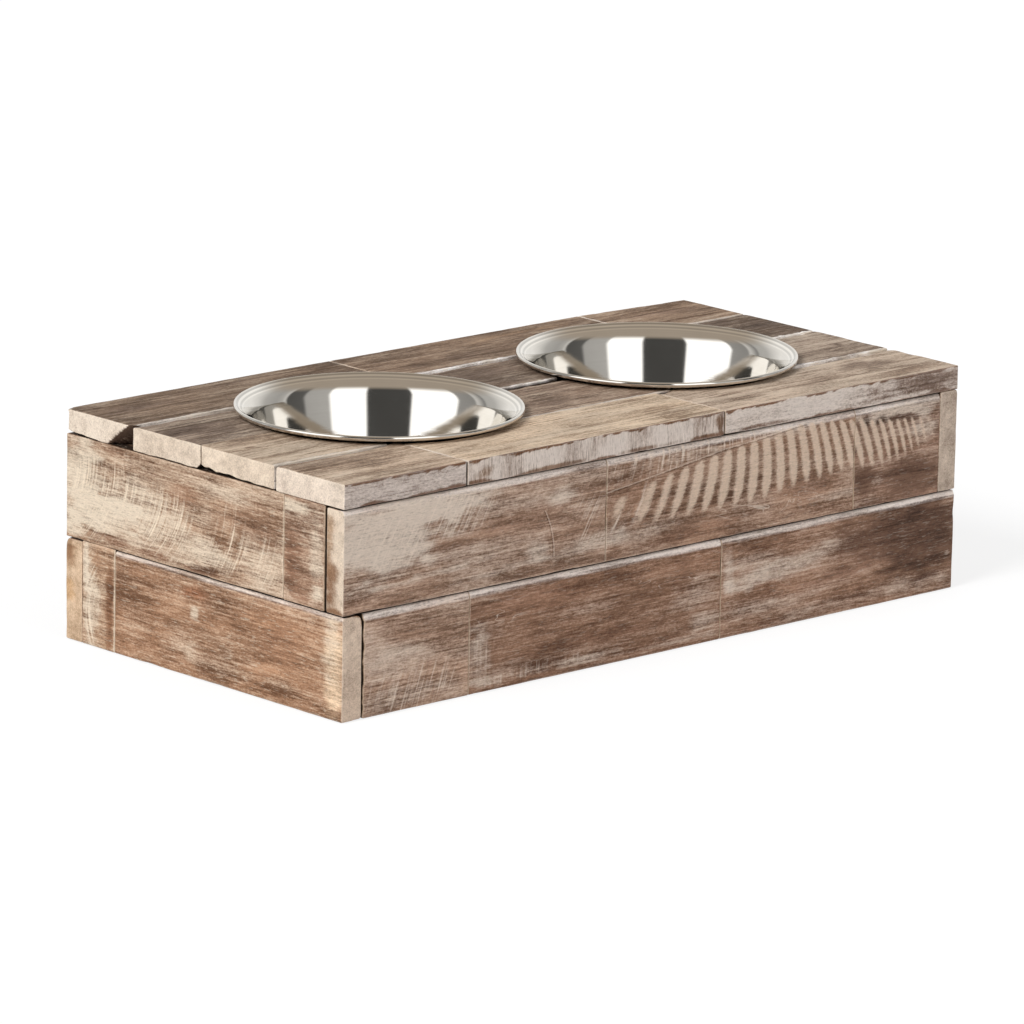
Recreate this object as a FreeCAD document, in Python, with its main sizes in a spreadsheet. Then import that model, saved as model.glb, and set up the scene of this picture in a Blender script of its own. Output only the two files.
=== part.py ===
import FreeCAD, Part
import os
import re
import Sketcher

# Raised pet feeder: a hollow stand of butt-jointed wooden blocks with two drop-in steel bowls.
# Millimetres, +Z up. The origin lies under the middle of the stand, on the floor.
# +X runs along the length, and the long front faces -Y.

doc = FreeCAD.newDocument("pet_feeder")
sheet = doc.addObject("Spreadsheet::Sheet", "sizes")

SIZES = {
    # Stand
    "overall_length": 500.0,
    "overall_depth": 247.0,
    "course_height": 62.5,
    "board_thickness": 15.0,
    "deck_thickness": 15.0,
    "board_bevel": 2.0,
    "deck_bevel": 0.8,
    # Block joints, as shares of the length or the depth
    "half_share": 0.5,
    "upper_first_share": 0.411,
    "upper_second_share": 0.823,
    "lower_first_share": 0.196,
    "lower_second_share": 0.602,
    "upper_end_share": 0.21,
    "lower_end_share": 0.818,
    # Deck rows and their joints, as shares of the depth and the length
    "front_row_share": 0.245,
    "inner_row_share": 0.508,
    "back_row_share": 0.757,
    "front_first_share": 0.19,
    "front_second_share": 0.603,
    "back_first_share": 0.412,
    "back_second_share": 0.826,
    # Frame inside the stand
    "post_side": 22.0,
    "post_lift": 4.0,
    "batten_thickness": 18.0,
    "end_batten_share": 0.6,
    "middle_batten_share": 0.6,
    # Bowls
    "seat_radius": 79.4,
    "end_gap_share": 0.3136,
    "seat_clearance": 0.4,
    "flange_width": 7.6,
    "flange_drop": 5.6,
    "throat_inset": 2.6,
    "bead_radius": 1.3,
    "bead_across_share": 0.8,
    "bead_up_share": 0.6,
    "steel_thickness": 0.9,
    "bowl_depth": 46.0,
    "bowl_corner_radius": 18.0,
    "wall_taper": 6.5,
    # Fasteners
    "nail_radius": 0.8,
    "nail_head_radius": 1.4,
    "nail_head_height": 0.8,
    "nail_length": 27.0,
    "nail_sink": 0.3,
    "screw_radius": 1.8,
    "screw_head_radius": 3.4,
    "screw_head_height": 2.2,
    "screw_bite": 9.0,
    "fastener_clearance": 0.05,
    "deck_nail_left_back_share": 0.8,
    "deck_nail_share": 0.55,
    "low_screw_share": 0.3,
    "high_screw_share": 0.6,
    # Every cut runs this far past the face that it starts from
    "overrun": 2.0,
}
for row, (alias, size) in enumerate(SIZES.items(), start=1):
    sheet.set(f"A{row}", alias)
    sheet.set(f"B{row}", str(size))
    sheet.setAlias(f"B{row}", alias)
doc.recompute()

LEFT = "(-overall_length * half_share)"
RIGHT = "(overall_length * half_share)"
FRONT = "(-overall_depth * half_share)"
BACK = "(overall_depth * half_share)"
UPPER = "course_height"
DECK = "(course_height + course_height)"
TOP = "(course_height + course_height + deck_thickness)"
# What the two seats leave of the length is shared out between the two ends and the middle
SEATS = "(seat_radius + seat_radius + seat_radius + seat_radius)"
END_GAP = f"((overall_length - {SEATS}) * end_gap_share)"
MIDDLE_GAP = f"(overall_length - {SEATS} - {END_GAP} - {END_GAP})"
LEFT_BOWL = f"({LEFT} + {END_GAP} + seat_radius)"
RIGHT_BOWL = f"({RIGHT} - {END_GAP} - seat_radius)"
UP = FreeCAD.Vector(0, 0, 1)

nodes = {}


def linked(formula):
    """The formula with each size read from the sheet."""
    return re.sub(r"[a-z_]+", lambda word: "sizes." + word.group(0), formula)


def bind(thing, name, formula):
    thing.setExpression(name, linked(formula))


def value(formula):
    return float(sheet.evalExpression(linked(formula)))


def place_at(thing, x, y, z):
    for axis, formula in zip("xyz", (x, y, z)):
        bind(thing, "Placement.Base." + axis, formula)


def new_sketch(body, plane):
    sketch = body.newObject("Sketcher::SketchObject", body.Name + "_sketch")
    support = [item for item in body.Origin.OriginFeatures if item.Role == plane]
    sketch.AttachmentSupport = (support[0], [""])
    sketch.MapMode = "FlatFace"
    return sketch


def fix_point(sketch, geometry, end, across, up):
    """Holds one end of a line at two formulas from the sketch's origin."""
    for kind, formula, axis in (("DistanceX", across, -2), ("DistanceY", up, -1)):
        if formula == "0":
            sketch.addConstraint(Sketcher.Constraint("PointOnObject", geometry, end, axis))
        else:
            at = Sketcher.Constraint(kind, -1, 1, geometry, end, value(formula))
            index = sketch.addConstraint(at)
            bind(sketch, f"Constraints[{index}]", formula)


def outline(sketch, points, arcs=None):
    """A closed outline through points of two formulas each.

    arcs gives, for the point that an arc starts from, its centre, its radius and
    whether it runs anticlockwise. Every other stretch is straight.
    """
    arcs = arcs or {}
    spots = [FreeCAD.Vector(value(across), value(up), 0) for across, up in points]
    ends = []
    for n, spot in enumerate(spots):
        far = spots[(n + 1) % len(spots)]
        if n not in arcs:
            geometry = sketch.addGeometry(Part.LineSegment(spot, far))
            ends.append((geometry, 1, 2))
            continue
        centre, radius, anticlockwise = arcs[n]
        middle = FreeCAD.Vector(value(centre[0]), value(centre[1]), 0)
        circle = Part.Circle(middle, UP, value(radius))
        first, last = (spot, far) if anticlockwise else (far, spot)
        angles = (circle.parameter(first), circle.parameter(last))
        geometry = sketch.addGeometry(Part.ArcOfCircle(circle, *angles))
        ends.append((geometry, 1, 2) if anticlockwise else (geometry, 2, 1))
    for n, (geometry, _, end) in enumerate(ends):
        following, start, _ = ends[(n + 1) % len(ends)]
        sketch.addConstraint(Sketcher.Constraint("Coincident", geometry, end, following, start))
    for (geometry, start, _), (across, up) in zip(ends, points):
        fix_point(sketch, geometry, start, across, up)
    for n, (_, radius, _) in arcs.items():
        index = sketch.addConstraint(Sketcher.Constraint("Radius", ends[n][0], value(radius)))
        bind(sketch, f"Constraints[{index}]", radius)


def block(label, run, points, start, stop, near, base):
    """A wooden block: a profile padded along X or Y from start to stop."""
    body = doc.addObject("PartDesign::Body", label + "_blank")
    sketch = new_sketch(body, "YZ_Plane" if run == "x" else "XZ_Plane")
    outline(sketch, points)
    pad = body.newObject("PartDesign::Pad", label + "_pad")
    pad.Profile = sketch
    pad.Reversed = run == "y"
    bind(pad, "Length", f"({stop}) - ({start})")
    if run == "x":
        place_at(body, start, near, base)
    else:
        place_at(body, near, start, base)
    return body


def rod(label, radius, start, length, place, way):
    """A cylinder that begins at start past a place and runs the way that a fastener is driven."""
    cylinder = doc.addObject("Part::Cylinder", label)
    bind(cylinder, "Radius", radius)
    bind(cylinder, "Height", length)
    turn = FreeCAD.Rotation(UP, FreeCAD.Vector(*way))
    cylinder.Placement = FreeCAD.Placement(FreeCAD.Vector(), turn)
    signs = {1: f" + ({start})", -1: f" - ({start})", 0: ""}
    place_at(cylinder, *(at + signs[step] for at, step in zip(place, way)))
    return cylinder


def joined(label, base, tool):
    fuse = doc.addObject("Part::Fuse", label)
    fuse.Base = base
    fuse.Tool = tool
    return fuse


def nail(label, place, way):
    """A nail driven just under the surface at place, and the hole that it makes."""
    under_head = "nail_sink + nail_head_height"
    head = rod(label + "_head", "nail_head_radius", "nail_sink", "nail_head_height", place, way)
    shank = rod(label + "_shank", "nail_radius", under_head, "nail_length", place, way)
    recess = rod(
        label + "_recess",
        "nail_head_radius + fastener_clearance",
        "-overrun",
        f"overrun + {under_head}",
        place,
        way,
    )
    bore = rod(
        label + "_bore",
        "nail_radius + fastener_clearance",
        "nail_sink",
        "nail_head_height + nail_length + fastener_clearance",
        place,
        way,
    )
    return joined(label, shank, head), joined(label + "_hole", bore, recess)


def screw(label, place, way, through):
    """A round-head screw through a piece and a little way into the next, and its hole."""
    length = f"{through} + screw_bite"
    head = rod(label + "_head", "screw_head_radius", "-screw_head_height", "screw_head_height", place, way)
    shank = rod(label + "_shank", "screw_radius", "0", length, place, way)
    bore = rod(
        label + "_hole",
        "screw_radius + fastener_clearance",
        "-overrun",
        f"overrun + {length} + fastener_clearance",
        place,
        way,
    )
    return joined(label, shank, head), bore


def group(label, members):
    compound = doc.addObject("Part::Compound", label)
    compound.Links = members
    nodes[label] = compound


def finish(label, blank, cuts):
    """The node of one piece: its blank with every hole that belongs to it cut out."""
    if not cuts:
        blank.Label = label
        nodes[label] = blank
        return
    tool = doc.addObject("Part::Compound", label + "_cuts")
    tool.Links = cuts
    cut = doc.addObject("Part::Cut", label)
    cut.Base = blank
    cut.Tool = tool
    nodes[label] = cut


def spans(name, start, stop, joints, block_names):
    """Each block of a board as its name, where it starts and where it stops."""
    edges = [start, *joints, stop]
    labels = [f"{name}_{part}" for part in block_names]
    return list(zip(labels, edges[:-1], edges[1:]))


# Holes cut out of each wooden piece, filled in as the fasteners are placed
holes = {}


def drive(made, *labels):
    """Keeps a fastener's hole for the pieces that it passes through, and returns the fastener."""
    solid, hole = made
    for label in labels:
        holes.setdefault(label, []).append(hole)
    return solid


# Nails down through the deck's row ends into the end boards
DECK_ROWS = ("deck_front", "deck_inner_front", "deck_inner_back", "deck_back")
ROW_EDGES = [FRONT]
for share in ("front_row_share", "inner_row_share", "back_row_share"):
    ROW_EDGES.append(f"({FRONT} + overall_depth * {share})")
ROW_EDGES.append(BACK)


def across_row(row, share):
    near, far = ROW_EDGES[row], ROW_EDGES[row + 1]
    return f"({near} + ({far} - {near}) * {share})"


LEFT_END_UNDER = ("left_upper_front", "left_upper_back", "left_upper_back", "left_upper_back")
RIGHT_END_UNDER = ("right_upper_front", "right_upper_front", "right_upper_front", "right_upper_back")
deck_nails = []
for row, name in enumerate(DECK_ROWS):
    left_share = "deck_nail_left_back_share" if name == "deck_back" else "deck_nail_share"
    ends = (
        ("left", f"{LEFT} + board_thickness * half_share", left_share, LEFT_END_UNDER[row]),
        ("right", f"{RIGHT} - board_thickness * half_share", "deck_nail_share", RIGHT_END_UNDER[row]),
    )
    for side, across, share, under in ends:
        place = (across, across_row(row, share), TOP)
        made = nail(f"{name}_{side}_nail", place, (0, 0, -1))
        deck_nails.append(drive(made, f"{name}_{side}", under))
group("deck_nails", deck_nails)

# One nail through each corner lap, halfway up its course. The laps turn the other way in each course.
INTO_LEFT = f"{LEFT} + board_thickness * half_share"
INTO_RIGHT = f"{RIGHT} - board_thickness * half_share"
INTO_FRONT = f"{FRONT} + board_thickness * half_share"
INTO_BACK = f"{BACK} - board_thickness * half_share"
UPPER_MIDDLE = f"{UPPER} + course_height * half_share"
LOWER_MIDDLE = "course_height * half_share"
CORNER_NAILS = (
    ((INTO_LEFT, FRONT, UPPER_MIDDLE), (0, 1, 0), "front_upper_left", "left_upper_front"),
    ((RIGHT, INTO_FRONT, UPPER_MIDDLE), (-1, 0, 0), "right_upper_front", "front_upper_right"),
    ((INTO_RIGHT, BACK, UPPER_MIDDLE), (0, -1, 0), "back_upper_right", "right_upper_back"),
    ((LEFT, INTO_BACK, UPPER_MIDDLE), (1, 0, 0), "left_upper_back", "back_upper_left"),
    ((LEFT, INTO_FRONT, LOWER_MIDDLE), (1, 0, 0), "left_lower_front", "front_lower_left"),
    ((INTO_RIGHT, FRONT, LOWER_MIDDLE), (0, 1, 0), "front_lower_right", "right_lower_front"),
    ((RIGHT, INTO_BACK, LOWER_MIDDLE), (-1, 0, 0), "right_lower_back", "back_lower_right"),
    ((INTO_LEFT, BACK, LOWER_MIDDLE), (0, -1, 0), "back_lower_left", "left_lower_back"),
)
corner_nails = []
for place, way, outer, inner in CORNER_NAILS:
    corner_nails.append(drive(nail(f"{outer}_corner_nail", place, way), outer, inner))
group("corner_nails", corner_nails)

# Corner posts inside the stand, screwed to both courses of both boards
INNER_LEFT = f"({LEFT} + board_thickness)"
INNER_RIGHT = f"({RIGHT} - board_thickness)"
INNER_FRONT = f"({FRONT} + board_thickness)"
INNER_BACK = f"({BACK} - board_thickness)"
LOW_SCREW = "course_height * low_screw_share"
HIGH_SCREW = "course_height * high_screw_share"
post_screws = []
posts = {}
POST_ENDS = (
    ("left", INNER_LEFT, f"{INNER_LEFT} + post_side", -1),
    ("right", f"{INNER_RIGHT} - post_side", f"{INNER_RIGHT} - post_side", 1),
)
POST_SIDES = (
    ("front", INNER_FRONT, f"{INNER_FRONT} + post_side", -1),
    ("back", f"{INNER_BACK} - post_side", f"{INNER_BACK} - post_side", 1),
)
for end, near_x, face_x, way_x in POST_ENDS:
    for side, near_y, face_y, way_y in POST_SIDES:
        middle_x = f"{near_x} + post_side * half_share"
        middle_y = f"{near_y} + post_side * half_share"
        label = f"post_{side}_{end}"
        post = doc.addObject("Part::Box", label + "_blank")
        bind(post, "Length", "post_side")
        bind(post, "Width", "post_side")
        bind(post, "Height", f"{DECK} - post_lift")
        place_at(post, near_x, near_y, "post_lift")
        posts[label] = post
        for course, lift in (("lower", "0"), ("upper", UPPER)):
            ways = (
                ((face_x, middle_y, f"{lift} + {LOW_SCREW}"), (way_x, 0, 0), f"{end}_{course}_{side}"),
                ((middle_x, face_y, f"{lift} + {HIGH_SCREW}"), (0, way_y, 0), f"{side}_{course}_{end}"),
            )
            for place, way, board in ways:
                made = screw(f"{label}_{board}_screw", place, way, "post_side")
                post_screws.append(drive(made, label, board))
group("post_screws", post_screws)

# Battens under the deck, screwed up into each row
BATTEN_BASE = f"({DECK} - batten_thickness)"
batten_screws = []
battens = {}
END_BATTEN = f"(({END_GAP} - board_thickness) * end_batten_share)"
MIDDLE_BATTEN = f"({MIDDLE_GAP} * middle_batten_share)"
for end, across, width, reach in (
    ("left", INNER_LEFT, END_BATTEN, "post_side"),
    ("middle", f"(-{MIDDLE_BATTEN} * half_share)", MIDDLE_BATTEN, "0"),
    ("right", f"({INNER_RIGHT} - {END_BATTEN})", END_BATTEN, "post_side"),
):
    label = f"batten_{end}"
    start = f"({INNER_FRONT} + {reach})"
    stop = f"({INNER_BACK} - {reach})"
    batten = doc.addObject("Part::Box", label + "_blank")
    bind(batten, "Length", width)
    bind(batten, "Width", f"{stop} - {start}")
    bind(batten, "Height", "batten_thickness")
    place_at(batten, across, start, BATTEN_BASE)
    battens[label] = batten
    lows = [start, *ROW_EDGES[1:-1]]
    highs = [*ROW_EDGES[1:-1], stop]
    for name, low, high in zip(DECK_ROWS, lows, highs):
        place = (f"{across} + {width} * half_share", f"({low} + {high}) * half_share", BATTEN_BASE)
        made = screw(f"{label}_{name}_screw", place, (0, 0, 1), "batten_thickness")
        batten_screws.append(drive(made, label, f"{name}_{end}"))
group("batten_screws", batten_screws)

# Front, back and end boards in two courses. Each course's corners lap like a pinwheel.
LOW_OUTER = [
    ("0", "0"),
    ("board_thickness", "0"),
    ("board_thickness", "course_height"),
    ("board_bevel", "course_height"),
    ("0", "course_height - board_bevel"),
]
HIGH_OUTER = [
    ("0", "0"),
    ("board_thickness", "0"),
    ("board_thickness", "course_height - board_bevel"),
    ("board_thickness - board_bevel", "course_height"),
    ("0", "course_height"),
]
LONG = ("left", "middle", "right")
SHORT = ("front", "back")
UPPER_LONG = ("upper_first_share", "upper_second_share")
LOWER_LONG = ("lower_first_share", "lower_second_share")


def from_left(shares):
    return [f"({LEFT} + overall_length * {share})" for share in shares]


def from_right(shares):
    return [f"({RIGHT} - overall_length * {share})" for share in reversed(shares)]


LEFT_UPPER_JOINT = [f"({FRONT} + overall_depth * upper_end_share)"]
LEFT_LOWER_JOINT = [f"({FRONT} + overall_depth * lower_end_share)"]
RIGHT_UPPER_JOINT = [f"({BACK} - overall_depth * upper_end_share)"]
RIGHT_LOWER_JOINT = [f"({BACK} - overall_depth * lower_end_share)"]
BOARDS = (
    ("front_upper", "x", LEFT, INNER_RIGHT, from_left(UPPER_LONG), LONG, FRONT, UPPER, LOW_OUTER),
    ("front_lower", "x", INNER_LEFT, RIGHT, from_left(LOWER_LONG), LONG, FRONT, "0", LOW_OUTER),
    ("back_upper", "x", INNER_LEFT, RIGHT, from_right(UPPER_LONG), LONG, INNER_BACK, UPPER, HIGH_OUTER),
    ("back_lower", "x", LEFT, INNER_RIGHT, from_right(LOWER_LONG), LONG, INNER_BACK, "0", HIGH_OUTER),
    ("left_upper", "y", INNER_FRONT, BACK, LEFT_UPPER_JOINT, SHORT, LEFT, UPPER, LOW_OUTER),
    ("left_lower", "y", FRONT, INNER_BACK, LEFT_LOWER_JOINT, SHORT, LEFT, "0", LOW_OUTER),
    ("right_upper", "y", FRONT, INNER_BACK, RIGHT_UPPER_JOINT, SHORT, INNER_RIGHT, UPPER, HIGH_OUTER),
    ("right_lower", "y", INNER_FRONT, BACK, RIGHT_LOWER_JOINT, SHORT, INNER_RIGHT, "0", HIGH_OUTER),
)
for name, run, start, stop, joints, block_names, near, base, points in BOARDS:
    for label, first, last in spans(name, start, stop, joints, block_names):
        finish(label, block(label, run, points, first, last, near, base), holes.get(label, []))

# Deck of four rows, with two round seats cut through it for the bowls
seats = []
for side, across in (("left", LEFT_BOWL), ("right", RIGHT_BOWL)):
    seat = doc.addObject("Part::Cylinder", f"{side}_seat_cut")
    bind(seat, "Radius", "seat_radius")
    bind(seat, "Height", "deck_thickness + overrun + overrun")
    place_at(seat, across, "0", f"{DECK} - overrun")
    seats.append(seat)
BOWL_JOINTS = [LEFT_BOWL, RIGHT_BOWL]
ROW_JOINTS = {
    "deck_front": from_left(("front_first_share", "front_second_share")),
    "deck_inner_front": BOWL_JOINTS,
    "deck_inner_back": BOWL_JOINTS,
    "deck_back": from_left(("back_first_share", "back_second_share")),
}
for name, near, far in zip(DECK_ROWS, ROW_EDGES[:-1], ROW_EDGES[1:]):
    width = f"({far} - {near})"
    points = [
        ("0", "0"),
        (width, "0"),
        (width, "deck_thickness - deck_bevel"),
        (f"{width} - deck_bevel", "deck_thickness"),
        ("deck_bevel", "deck_thickness"),
        ("0", "deck_thickness - deck_bevel"),
    ]
    for label, first, last in spans(name, LEFT, RIGHT, ROW_JOINTS[name], LONG):
        finish(label, block(label, "x", points, first, last, near, DECK), [*seats, *holes.get(label, [])])

for label, blank in {**posts, **battens}.items():
    finish(label, blank, holes[label])

# Bowls of pressed steel. Each hangs in its seat by a flange that slopes up to a rolled bead.
THROAT = "(seat_radius - throat_inset)"
BEAD_ACROSS = "(seat_radius - throat_inset + flange_width + bead_radius * bead_across_share)"
SEAT_RISE = "(throat_inset * flange_drop / flange_width)"
THROAT_UP = f"(steel_thickness + seat_clearance - {SEAT_RISE})"
FLANGE_UP = f"({THROAT_UP} + flange_drop)"
BEAD_UP = f"({FLANGE_UP} - bead_radius * bead_up_share)"
WALL = f"({THROAT} - wall_taper)"
FLOOR_RADIUS = f"({WALL} - bowl_corner_radius)"
CORNER_UP = "(bowl_corner_radius - bowl_depth)"
BOWL_POINTS = [
    ("0", "-bowl_depth"),
    (FLOOR_RADIUS, "-bowl_depth"),
    (WALL, CORNER_UP),
    (THROAT, THROAT_UP),
    (f"{THROAT} + flange_width", FLANGE_UP),
    (f"{BEAD_ACROSS} - bead_radius", BEAD_UP),
    (f"{THROAT} + steel_thickness", f"{THROAT_UP} - steel_thickness * half_share"),
    (f"{WALL} + steel_thickness", CORNER_UP),
    (FLOOR_RADIUS, "-bowl_depth - steel_thickness"),
    ("0", "-bowl_depth - steel_thickness"),
]
BOWL_ARCS = {
    1: ((FLOOR_RADIUS, CORNER_UP), "bowl_corner_radius", True),
    4: ((BEAD_ACROSS, BEAD_UP), "bead_radius", False),
    7: ((FLOOR_RADIUS, CORNER_UP), "bowl_corner_radius + steel_thickness", False),
}
for label, across in (("left_bowl", LEFT_BOWL), ("right_bowl", RIGHT_BOWL)):
    body = doc.addObject("PartDesign::Body", label)
    sketch = new_sketch(body, "XZ_Plane")
    outline(sketch, BOWL_POINTS, BOWL_ARCS)
    turned = body.newObject("PartDesign::Revolution", label + "_turned")
    turned.Profile = sketch
    turned.ReferenceAxis = (sketch, ["V_Axis"])
    place_at(body, across, "0", TOP)
    nodes[label] = body

doc.recompute()

for thing in doc.Objects:
    if "Invalid" in thing.State or "Error" in thing.State:
        raise RuntimeError(f"{thing.Label} failed: {thing.State}")
GROUPS = {
    "deck_nails": deck_nails,
    "corner_nails": corner_nails,
    "post_screws": post_screws,
    "batten_screws": batten_screws,
}
os.makedirs("parts", exist_ok=True)
for label, node in nodes.items():
    node.Label = label
    shape = node.Shape
    wanted = len(GROUPS.get(label, [label]))
    if shape.isNull() or not shape.isValid() or len(shape.Solids) != wanted:
        raise RuntimeError(f"{label} has no valid shape, or {len(shape.Solids)} solids in place of {wanted}")
for label, node in nodes.items():
    node.Shape.exportStep(f"parts/{label}.step")
print(len(nodes), "pieces written")
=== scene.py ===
"""Dresses the raised pet feeder: worn board blocks, spun steel bowls, a pale studio and the camera."""
import math

import bpy
import numpy as np
from mathutils import Matrix, Vector


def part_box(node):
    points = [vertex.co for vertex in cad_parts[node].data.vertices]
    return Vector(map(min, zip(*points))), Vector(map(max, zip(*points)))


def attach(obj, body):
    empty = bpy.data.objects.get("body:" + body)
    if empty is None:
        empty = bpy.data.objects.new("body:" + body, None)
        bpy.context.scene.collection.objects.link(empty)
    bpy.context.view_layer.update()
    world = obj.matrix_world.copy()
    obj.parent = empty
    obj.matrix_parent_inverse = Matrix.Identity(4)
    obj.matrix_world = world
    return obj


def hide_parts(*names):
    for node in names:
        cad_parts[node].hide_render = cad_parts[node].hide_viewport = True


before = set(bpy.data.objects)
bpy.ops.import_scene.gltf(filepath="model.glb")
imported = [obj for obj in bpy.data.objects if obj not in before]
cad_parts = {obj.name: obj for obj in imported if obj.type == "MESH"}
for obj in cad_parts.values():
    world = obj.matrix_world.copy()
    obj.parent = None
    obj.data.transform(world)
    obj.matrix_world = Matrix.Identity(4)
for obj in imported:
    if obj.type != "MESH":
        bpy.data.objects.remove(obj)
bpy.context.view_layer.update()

MM = 0.001
TINY = 1e-7

# The stand's own box, from its front left foot.
STAND_LOW = np.array(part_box("front_lower_left")[0])
STAND_LOW[0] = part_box("left_lower_front")[0][0]
STAND_HIGH = np.array(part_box("deck_back_right")[1])
LENGTH, DEPTH, HEIGHT = STAND_HIGH - STAND_LOW
FACE_SIZE = {"front": (LENGTH, HEIGHT), "end": (DEPTH, HEIGHT), "deck": (LENGTH, DEPTH)}

# The bowls, from their packed boxes.
BOWL_LOW, BOWL_HIGH = (np.array(c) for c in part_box("left_bowl"))
RIM_RADIUS = (BOWL_HIGH[0] - BOWL_LOW[0]) / 2
SEAT_SHARE = 0.9154
SEAT_RADIUS = RIM_RADIUS * SEAT_SHARE
BOWL_X = {side: (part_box(side + "_bowl")[0][0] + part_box(side + "_bowl")[1][0]) / 2 for side in ("left", "right")}


def linear(colour):
    """A colour of 0 to 255, as it looks in full light, as linear numbers."""
    c = np.asarray(colour, float) / 255
    return np.where(c <= 0.04045, c / 12.92, ((c + 0.055) / 1.055) ** 2.4)


def rgba(colour):
    return tuple(linear(colour)) + (1.0,)


def smooth(value, low, high):
    t = np.clip((value - low) / (high - low), 0, 1)
    return t * t * (3 - 2 * t)


def noise(points, cell, seed):
    """Smooth value noise from -1 to 1, the same on every run."""
    q = points / np.asarray(cell, float) + 57.3
    base = np.floor(q).astype(np.int64)
    t = q - base
    t = t * t * (3 - 2 * t)
    total = np.zeros(len(points))
    for corner in range(8):
        step = np.array([corner & 1, corner >> 1 & 1, corner >> 2 & 1])
        at = base + step
        h = (at[:, 0] * 73856093) ^ (at[:, 1] * 19349663) ^ (at[:, 2] * 83492791) ^ (seed * 2654435)
        h = ((h ^ (h >> 13)) * 1274126177) & 0x7FFFFFFF
        h = (h ^ (h >> 16)) & 0xFFFF
        total += np.prod(np.where(step == 1, t, 1 - t), axis=1) * (h / 32767.5 - 1)
    return total


def wilds(points, seed):
    """A maker of noise over these points, by the size of its cells in millimetres and its own number."""
    return lambda size, number: noise(points, [size * MM] * 3, seed + number)


def link(thing):
    bpy.context.scene.collection.objects.link(thing)


# Shader graphs

class Graph:
    """A small hand for writing a node tree."""

    def __init__(self, tree):
        self.tree = tree

    def put(self, socket, value):
        if isinstance(value, bpy.types.NodeSocket):
            self.tree.links.new(value, socket)
        else:
            socket.default_value = value

    def add(self, kind, inputs=(), **settings):
        node = self.tree.nodes.new("ShaderNode" + kind)
        for key, value in settings.items():
            setattr(node, key, value)
        for key, value in dict(inputs).items():
            self.put(node.inputs[key], value)
        return node

    def math(self, operation, a, b=0.0, clamp=False):
        return self.add("Math", {0: a, 1: b}, operation=operation, use_clamp=clamp).outputs[0]

    def times(self, a, b):
        return self.math("MULTIPLY", a, b)

    def clamp(self, value):
        return self.math("ADD", value, 0.0, clamp=True)

    def total(self, start, *terms):
        """start plus each noise's departure from its middle, times its gain."""
        for value, gain in terms:
            node = self.add("Math", {0: value, 1: gain, 2: -0.5 * gain}, operation="MULTIPLY_ADD")
            start = self.math("ADD", start, node.outputs[0])
        return start

    def step(self, value, low, high, to_low=0.0, to_high=1.0):
        inputs = {"Value": value, "From Min": low, "From Max": high, "To Min": to_low, "To Max": to_high}
        return self.add("MapRange", inputs, interpolation_type="SMOOTHSTEP").outputs[0]

    def near(self, value, middle, core, reach):
        """1 where a value is within core of its middle, falling to 0 at reach."""
        return self.step(self.math("ABSOLUTE", self.math("SUBTRACT", value, middle)), core, reach, 1.0, 0.0)

    def mix(self, factor, a, b, blend="MIX"):
        node = self.add("Mix", {0: factor, 6: a, 7: b}, data_type="RGBA", blend_type=blend)
        return node.outputs[2]

    def noise(self, vector, scale, detail=4.0, rough=0.6, distortion=0.0):
        stretched = self.add("Mapping", {"Vector": vector, "Scale": scale}).outputs[0]
        inputs = {"Vector": stretched, "Scale": 1.0, "Detail": detail, "Roughness": rough, "Distortion": distortion}
        return self.add("TexNoise", inputs).outputs["Fac"]

    def attribute(self, name, output="Fac"):
        return self.add("Attribute", attribute_name=name, attribute_type="GEOMETRY").outputs[output]

    def place(self, output="Object"):
        return self.add("TexCoord").outputs[output]

    def split(self, vector):
        return self.add("SeparateXYZ", {0: vector}).outputs

    def join(self, x, y):
        return self.add("CombineXYZ", {0: x, 1: y}).outputs[0]

    def ramp(self, value, stops, first, last, tint=(1, 1, 1)):
        """A colour ramp from first to last through (place, brightness) stops; those under 1 are tinted."""
        share = self.math("DIVIDE", self.math("SUBTRACT", value, first), last - first)
        node = self.add("ValToRGB", {0: share})
        marks = node.color_ramp.elements
        while len(marks) > 1:
            marks.remove(marks[-1])
        for number, (place, bright) in enumerate(stops):
            at = (place - first) / (last - first)
            mark = marks[0] if number == 0 else marks.new(at)
            mark.position = at
            mark.color = tuple(bright * (t if bright < 1 else 1) for t in tint) + (1,)
        return node.outputs[0]

    def bump(self, shader, height, strength, distance):
        node = self.add("Bump", {"Strength": strength, "Distance": distance, "Height": height})
        self.put(shader.inputs["Normal"], node.outputs[0])


def cleared(owner):
    """The hand for an owner's emptied node tree."""
    owner.use_nodes = True
    owner.node_tree.nodes.clear()
    return Graph(owner.node_tree)


def material(name):
    mat = bpy.data.materials.new(name)
    g = cleared(mat)
    shader = g.add("BsdfPrincipled")
    g.add("OutputMaterial", {0: shader.outputs[0]})
    return mat, g, shader


def stretch(axis, run, across):
    scale = [across, across, across]
    if axis is not None:
        scale[axis] = run
    return tuple(scale)


# Noise fields of wood: scale along and across the grain, detail, roughness and distortion.
FIELDS = {
    "figure": (20, 200, 3.0, 0.55, 0.5), "fibre": (120, 1150, 3.0, 0.65, 0.25),
    "fleck": (280, 1500, 2.0, 0.6, 0.0), "dash": (140, 1000, 3.0, 0.65, 0.4),
    "mottle": (560, 960, 4.0, 0.75, 0.0), "cloud": (24, 62, 2.0, 0.5, 0.3),
    "streak": (9, 640, 2.0, 0.55, 0.2), "vein": (14, 70, 3.0, 0.55, 1.6),
}
# How a block's own colour is multiplied in its darkest and lightest grain, between bands, in cracks and in pores.
DARK_GRAIN, LIGHT_GRAIN = (0.42, 0.37, 0.34, 1), (1.62, 1.66, 1.70, 1)
BETWEEN_TINT, CRACK_TINT, PORE_TINT = (0.42, 0.36, 0.32, 1), (0.34, 0.28, 0.24, 1), (0.30, 0.24, 0.20, 1)
BAND_TINT = (0.98, 0.90, 0.83, 1)


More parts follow.
